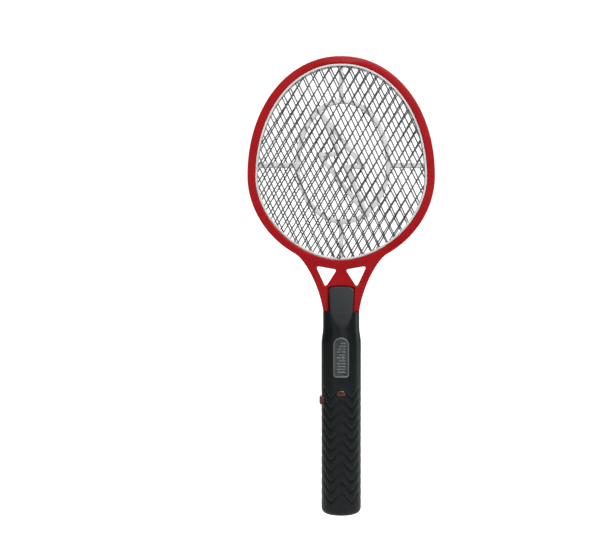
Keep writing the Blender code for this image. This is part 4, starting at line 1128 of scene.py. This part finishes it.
def build_lamp():
    """Lamp window: a shallow lens set into the front."""
    back = -2.5
    lens = ((0.05, back), (0.6, back), (1, back), (1, -0.35), (0.97, -0.1), (0.9, 0.08),
            (0.78, 0.2), (0.6, 0.28), (0.4, 0.31), (0.2, 0.33), (0.06, 0.33))
    window = loft("lamp", rising(lamp_outline(0), lens))
    finish(window, "lamp_window", LAMP, 60)


def build_button():
    """Thumb button: a crowned cap with grip ribs, and the flange that keeps it in the shell."""
    reach = HANDLE_RADIUS + BUTTON_PROUD

    def cap_loop(outline, sunk):
        return [(sunk - math.sqrt(max(reach ** 2 - (y / HANDLE_FLATTEN) ** 2, 1.0)), y, z)
                for y, z in outline]

    inner = FLANGE_X[0] + 0.4
    loops = [[(inner, p[0], p[1]) for p in shrunk(button_outline(0), share)]
             for share in (0.05, 1.0)]
    for margin, sunk in ((0, 1.0), (-0.08, 0.62), (-0.3, 0.28), (-0.65, 0.07), (-1.0, 0.0)):
        loops.append(cap_loop(button_outline(margin), sunk))
    for share in (0.8, 0.6, 0.4, 0.2, 0.05):
        loops.append(cap_loop(shrunk(button_outline(-1.0), share), 0.0))
    cap = loft("button", loops)
    for index in range(-2, 3):                       # grooves between the grip ribs
        line = rectangle((BUTTON_MIDDLE_Y, BUTTON_HEIGHT + index * BUTTON_RIB_PITCH), (9.0, 0.5),
                         0.24, 4)
        cut(cap, prism([line], -OUTSIDE, BUTTON_RIB_DEPTH - reach, axis="X"))
    join(cap, prism([button_outline(1.0)], *FLANGE_X, axis="X"))
    finish(cap, "push_button", BUTTON_RED, body="button")


# --- small pieces ---------------------

def build_screw(name, x, z, head_y, head_depth, tip_y, head_radius, shank_radius):
    """A pan-head screw driven in from behind, with a cross recess and a threaded look."""
    top = head_y + head_depth
    profile = [(0, top), (head_radius * 0.45, top), (head_radius * 0.78, top - head_depth * 0.12),
               (head_radius * 0.95, top - head_depth * 0.38), (head_radius, top - head_depth * 0.7),
               (head_radius, head_y), (shank_radius, head_y)]
    for index in range(max(int((head_y - tip_y - 1.6) / THREAD_PITCH), 1)):
        level = head_y - 0.8 - index * THREAD_PITCH
        profile += [(shank_radius * 0.82, level), (shank_radius, level - THREAD_PITCH * 0.4)]
    profile += [(shank_radius * 0.8, tip_y + 0.5), (shank_radius * 0.25, tip_y), (0, tip_y)]
    screw = turned(profile, 36, across(x, z))
    floor = top - head_depth * 0.6
    reach, half = head_radius * 0.62, head_radius * 0.13
    cut(screw, join(box((x - reach, floor, z - half), (x + reach, top + 1, z + half)),
                    box((x - half, floor - 0.01, z - reach), (x + half, top + 1.1, z + reach))))
    finish(screw, name, STEEL, 45)


def build_screws():
    for kind, places, sizes in (("ring", ring_screw_places(), RING_SCREW),
                                ("tongue", TONGUE_SCREWS, TONGUE_SCREW),
                                ("handle", HANDLE_SCREWS, HANDLE_SCREW)):
        for index, (x, z) in enumerate(places, 1):
            build_screw(f"{kind}_screw_{index}", x, z, *sizes)


def coil(foot, rise, radii, turns, per_turn=24):
    """Points along a rising coil whose radius goes from the first to the second."""
    points = []
    for share in np.linspace(0, 1, turns * per_turn + 1):
        radius = radii[0] + (radii[1] - radii[0]) * share
        angle = 2 * math.pi * turns * share
        points.append((foot[0] + radius * math.cos(angle), foot[1] + radius * math.sin(angle),
                       foot[2] + rise * share))
    return points


def build_return_spring():
    """Coil that pushes the button out."""
    spring = wire(coil((0, 0, 0), SPRING_LENGTH, (SPRING_RADIUS, SPRING_RADIUS), 3), SPRING_WIRE)
    spring.data.transform(Matrix.Translation(SPRING_FOOT) @ Matrix.Rotation(-math.pi / 2, 4, "Y"))
    finish(spring, "button_spring", STEEL, 60)
    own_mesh(spring)


def build_contact_spring(name, x, foot, top, radii, turns):
    """A tapered coil between two faces."""
    low = foot + GAP + CONTACT_WIRE
    spring = wire(coil((x, 0, low), top - GAP - CONTACT_WIRE - low, radii, turns), CONTACT_WIRE)
    finish(spring, name, STEEL, 60)


def build_power():
    """Battery cells and their coil contacts."""
    jacket = cell_jacket()
    body = CELL_LENGTH - 1.0
    profile = [(0, CELL_LENGTH), (2.3, CELL_LENGTH), (2.7, CELL_LENGTH - 0.3), (2.7, body + 0.1),
               (3.2, body - 0.1), (6.4, body - 0.1), (6.7, body), (7.05, body - 0.15),
               (CELL_RADIUS, body - 0.5), (CELL_RADIUS, 0.5), (7.05, 0.12), (6.6, 0.0), (6.2, 0.15),
               (0, 0.15)]
    for name, side in (("cell_left", -1), ("cell_right", 1)):
        place = Matrix.Translation((side * CELL_X, 0, CELL_FOOT))
        if side < 0:                                 # this one stands on its head
            place = (place @ Matrix.Translation((0, 0, CELL_LENGTH))
                     @ Matrix.Rotation(math.pi, 4, "X"))
        cell = turned(profile, 64, place)
        finish(cell, name, jacket, 40)
    wide, narrow = CONTACT_RADII
    build_contact_spring("contact_spring_lower", CELL_X, CONTACT_FOOT + CONTACT_THICK, CELL_FOOT,
                         (wide, narrow), 3)
    build_contact_spring("contact_spring_upper", -CELL_X, CELL_FOOT + CELL_LENGTH,
                         PARTITION[0] - GAP - CONTACT_THICK, (narrow, wide), 4)


def dress_cad_nodes():
    """Give the CAD nodes that stay in view or inside the handle their finishes."""
    dark = part_finish("part_black", (0.012, 0.012, 0.013), (0.022, 0.022, 0.023))
    brown = part_finish("film_brown", (0.20, 0.045, 0.015), (0.30, 0.075, 0.025), (0.2, 0.34))
    tan = part_finish("resistor_tan", (0.42, 0.27, 0.13), (0.55, 0.37, 0.19))
    black_lead = lead_sheath("lead_black", (0.012, 0.012, 0.012), (0.025, 0.025, 0.025))
    red_lead = lead_sheath("lead_red", (0.32, 0.012, 0.010), (0.42, 0.020, 0.015))
    finishes = (
        (dark, "switch_body transformer_core drive_transistor rectifier_diode_1 rectifier_diode_2 "
               "rectifier_diode_3"),
        (brown, "storage_capacitor boost_capacitor_1 boost_capacitor_2"),
        (tan, "bleed_resistor base_resistor lamp_resistor"),
        (STEEL, "contact_bridge contact_positive contact_negative board_screw_1 board_screw_2"),
        (black_lead, "battery_lead_negative lead_front_grid"),
        (red_lead, "battery_lead_positive lead_rear_grid"),
        (BUTTON_RED, "switch_plunger"),
        (LAMP, "lamp_led"),
        (board_green(), "circuit_board"),
        (copper_wire(), "transformer_winding"),
    )
    for material, names in finishes:
        for name in names.split():
            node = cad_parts[name]
            node.data.materials.clear()
            node.data.materials.append(material)


# --- studio, in metres ---------------------

FLOOR_HEIGHT = -0.085
FLOOR_REACH = 9.0
WALL_Y = 2.2
WALL_TOP = 4.5
BEND_RADIUS = 0.8

LIT_POINT = (0, 0, 0.25)
LIGHTS = (                       # name, place, size, watts
    ("key", (0.55, -1.42, 1.68), (1.2, 1.2), 44.0),
    ("top", (0, 0, 2.0), (1.8, 1.8), 17.0),
    ("fill", (-1.1, -1.6, 0.35), (1.0, 1.4), 2.5),
    ("side", (1.85, 0.75, 0.3), (0.6, 1.4), 3.5),
    ("back", (0.2, 1.35, 1.4), (1.4, 0.7), 40.0),
)

CAMERA_DISTANCE = 1.1
CAMERA_HEIGHT = 0.2437
VIEW_WIDTH = 0.6225              # width of the view at the swatter
OBJECT_OFFSET = 41.2             # of the swatter from the middle of the picture, in pixels
IMAGE_WIDTH = 600


def build_backdrop():
    """Seamless pale floor that curves up behind the swatter, below the door's travel."""
    profile = [(-FLOOR_REACH, FLOOR_HEIGHT)]
    for angle in range(0, 91, 6):
        profile.append((WALL_Y - BEND_RADIUS * (1 - math.sin(math.radians(angle))),
                        FLOOR_HEIGHT + BEND_RADIUS * (1 - math.cos(math.radians(angle)))))
    profile.append((WALL_Y, WALL_TOP))
    points = [(x, y, z) for x in (-FLOOR_REACH, FLOOR_REACH) for y, z in profile]
    count = len(profile)
    faces = [(i, i + count, i + count + 1, i + 1) for i in range(count - 1)]
    mesh = bpy.data.meshes.new("backdrop")
    mesh.from_pydata(points, [], faces)
    mesh.materials.append(studio_white())
    mesh.shade_smooth()
    add_object("backdrop", mesh)


def area_light(name, place, size, watts):
    data = bpy.data.lights.new(name, "AREA")
    data.shape = "RECTANGLE"
    data.size, data.size_y = size
    data.energy = watts
    light = add_object(name, data)
    light.location = place
    light.rotation_euler = (Vector(LIT_POINT) - Vector(place)).to_track_quat("-Z", "Y").to_euler()


def build_studio():
    scene = bpy.context.scene
    scene.view_settings.view_transform = "Standard"
    world = bpy.data.worlds.new("studio")
    scene.world = world
    world.use_nodes = True
    nodes, links = world.node_tree.nodes, world.node_tree.links
    background = nodes["Background"]
    background.inputs["Color"].default_value = (0.985, 0.99, 0.98, 1.0)
    seen = nodes.new("ShaderNodeLightPath")
    strength = nodes.new("ShaderNodeMapRange")       # bright to the eye, dim as a light
    strength.inputs["To Min"].default_value = 0.07
    strength.inputs["To Max"].default_value = 1.0
    links.new(seen.outputs["Is Camera Ray"], strength.inputs["Value"])
    links.new(strength.outputs["Result"], background.inputs["Strength"])
    for light in LIGHTS:
        area_light(*light)
    camera = add_object("camera", bpy.data.cameras.new("camera"))
    camera.location = (0, -CAMERA_DISTANCE, CAMERA_HEIGHT)
    camera.rotation_euler = (math.radians(90), 0, 0)
    camera.data.sensor_width = 36
    camera.data.lens = camera.data.sensor_width * CAMERA_DISTANCE / VIEW_WIDTH
    camera.data.shift_x = -OBJECT_OFFSET / IMAGE_WIDTH
    scene.camera = camera


build_frames()
build_grid("grid_front", -1, FRONT_NODE, 0.0)
build_grid("grid_rear", 1, REAR_NODE, REAR_TURN)
build_rim_cover("rim_cover_front", -1)
build_rim_cover("rim_cover_rear", 1)
build_spacer()
build_handle()
build_badge()
build_lamp()
build_button()
build_screws()
build_return_spring()
build_power()
dress_cad_nodes()
build_backdrop()
build_studio()
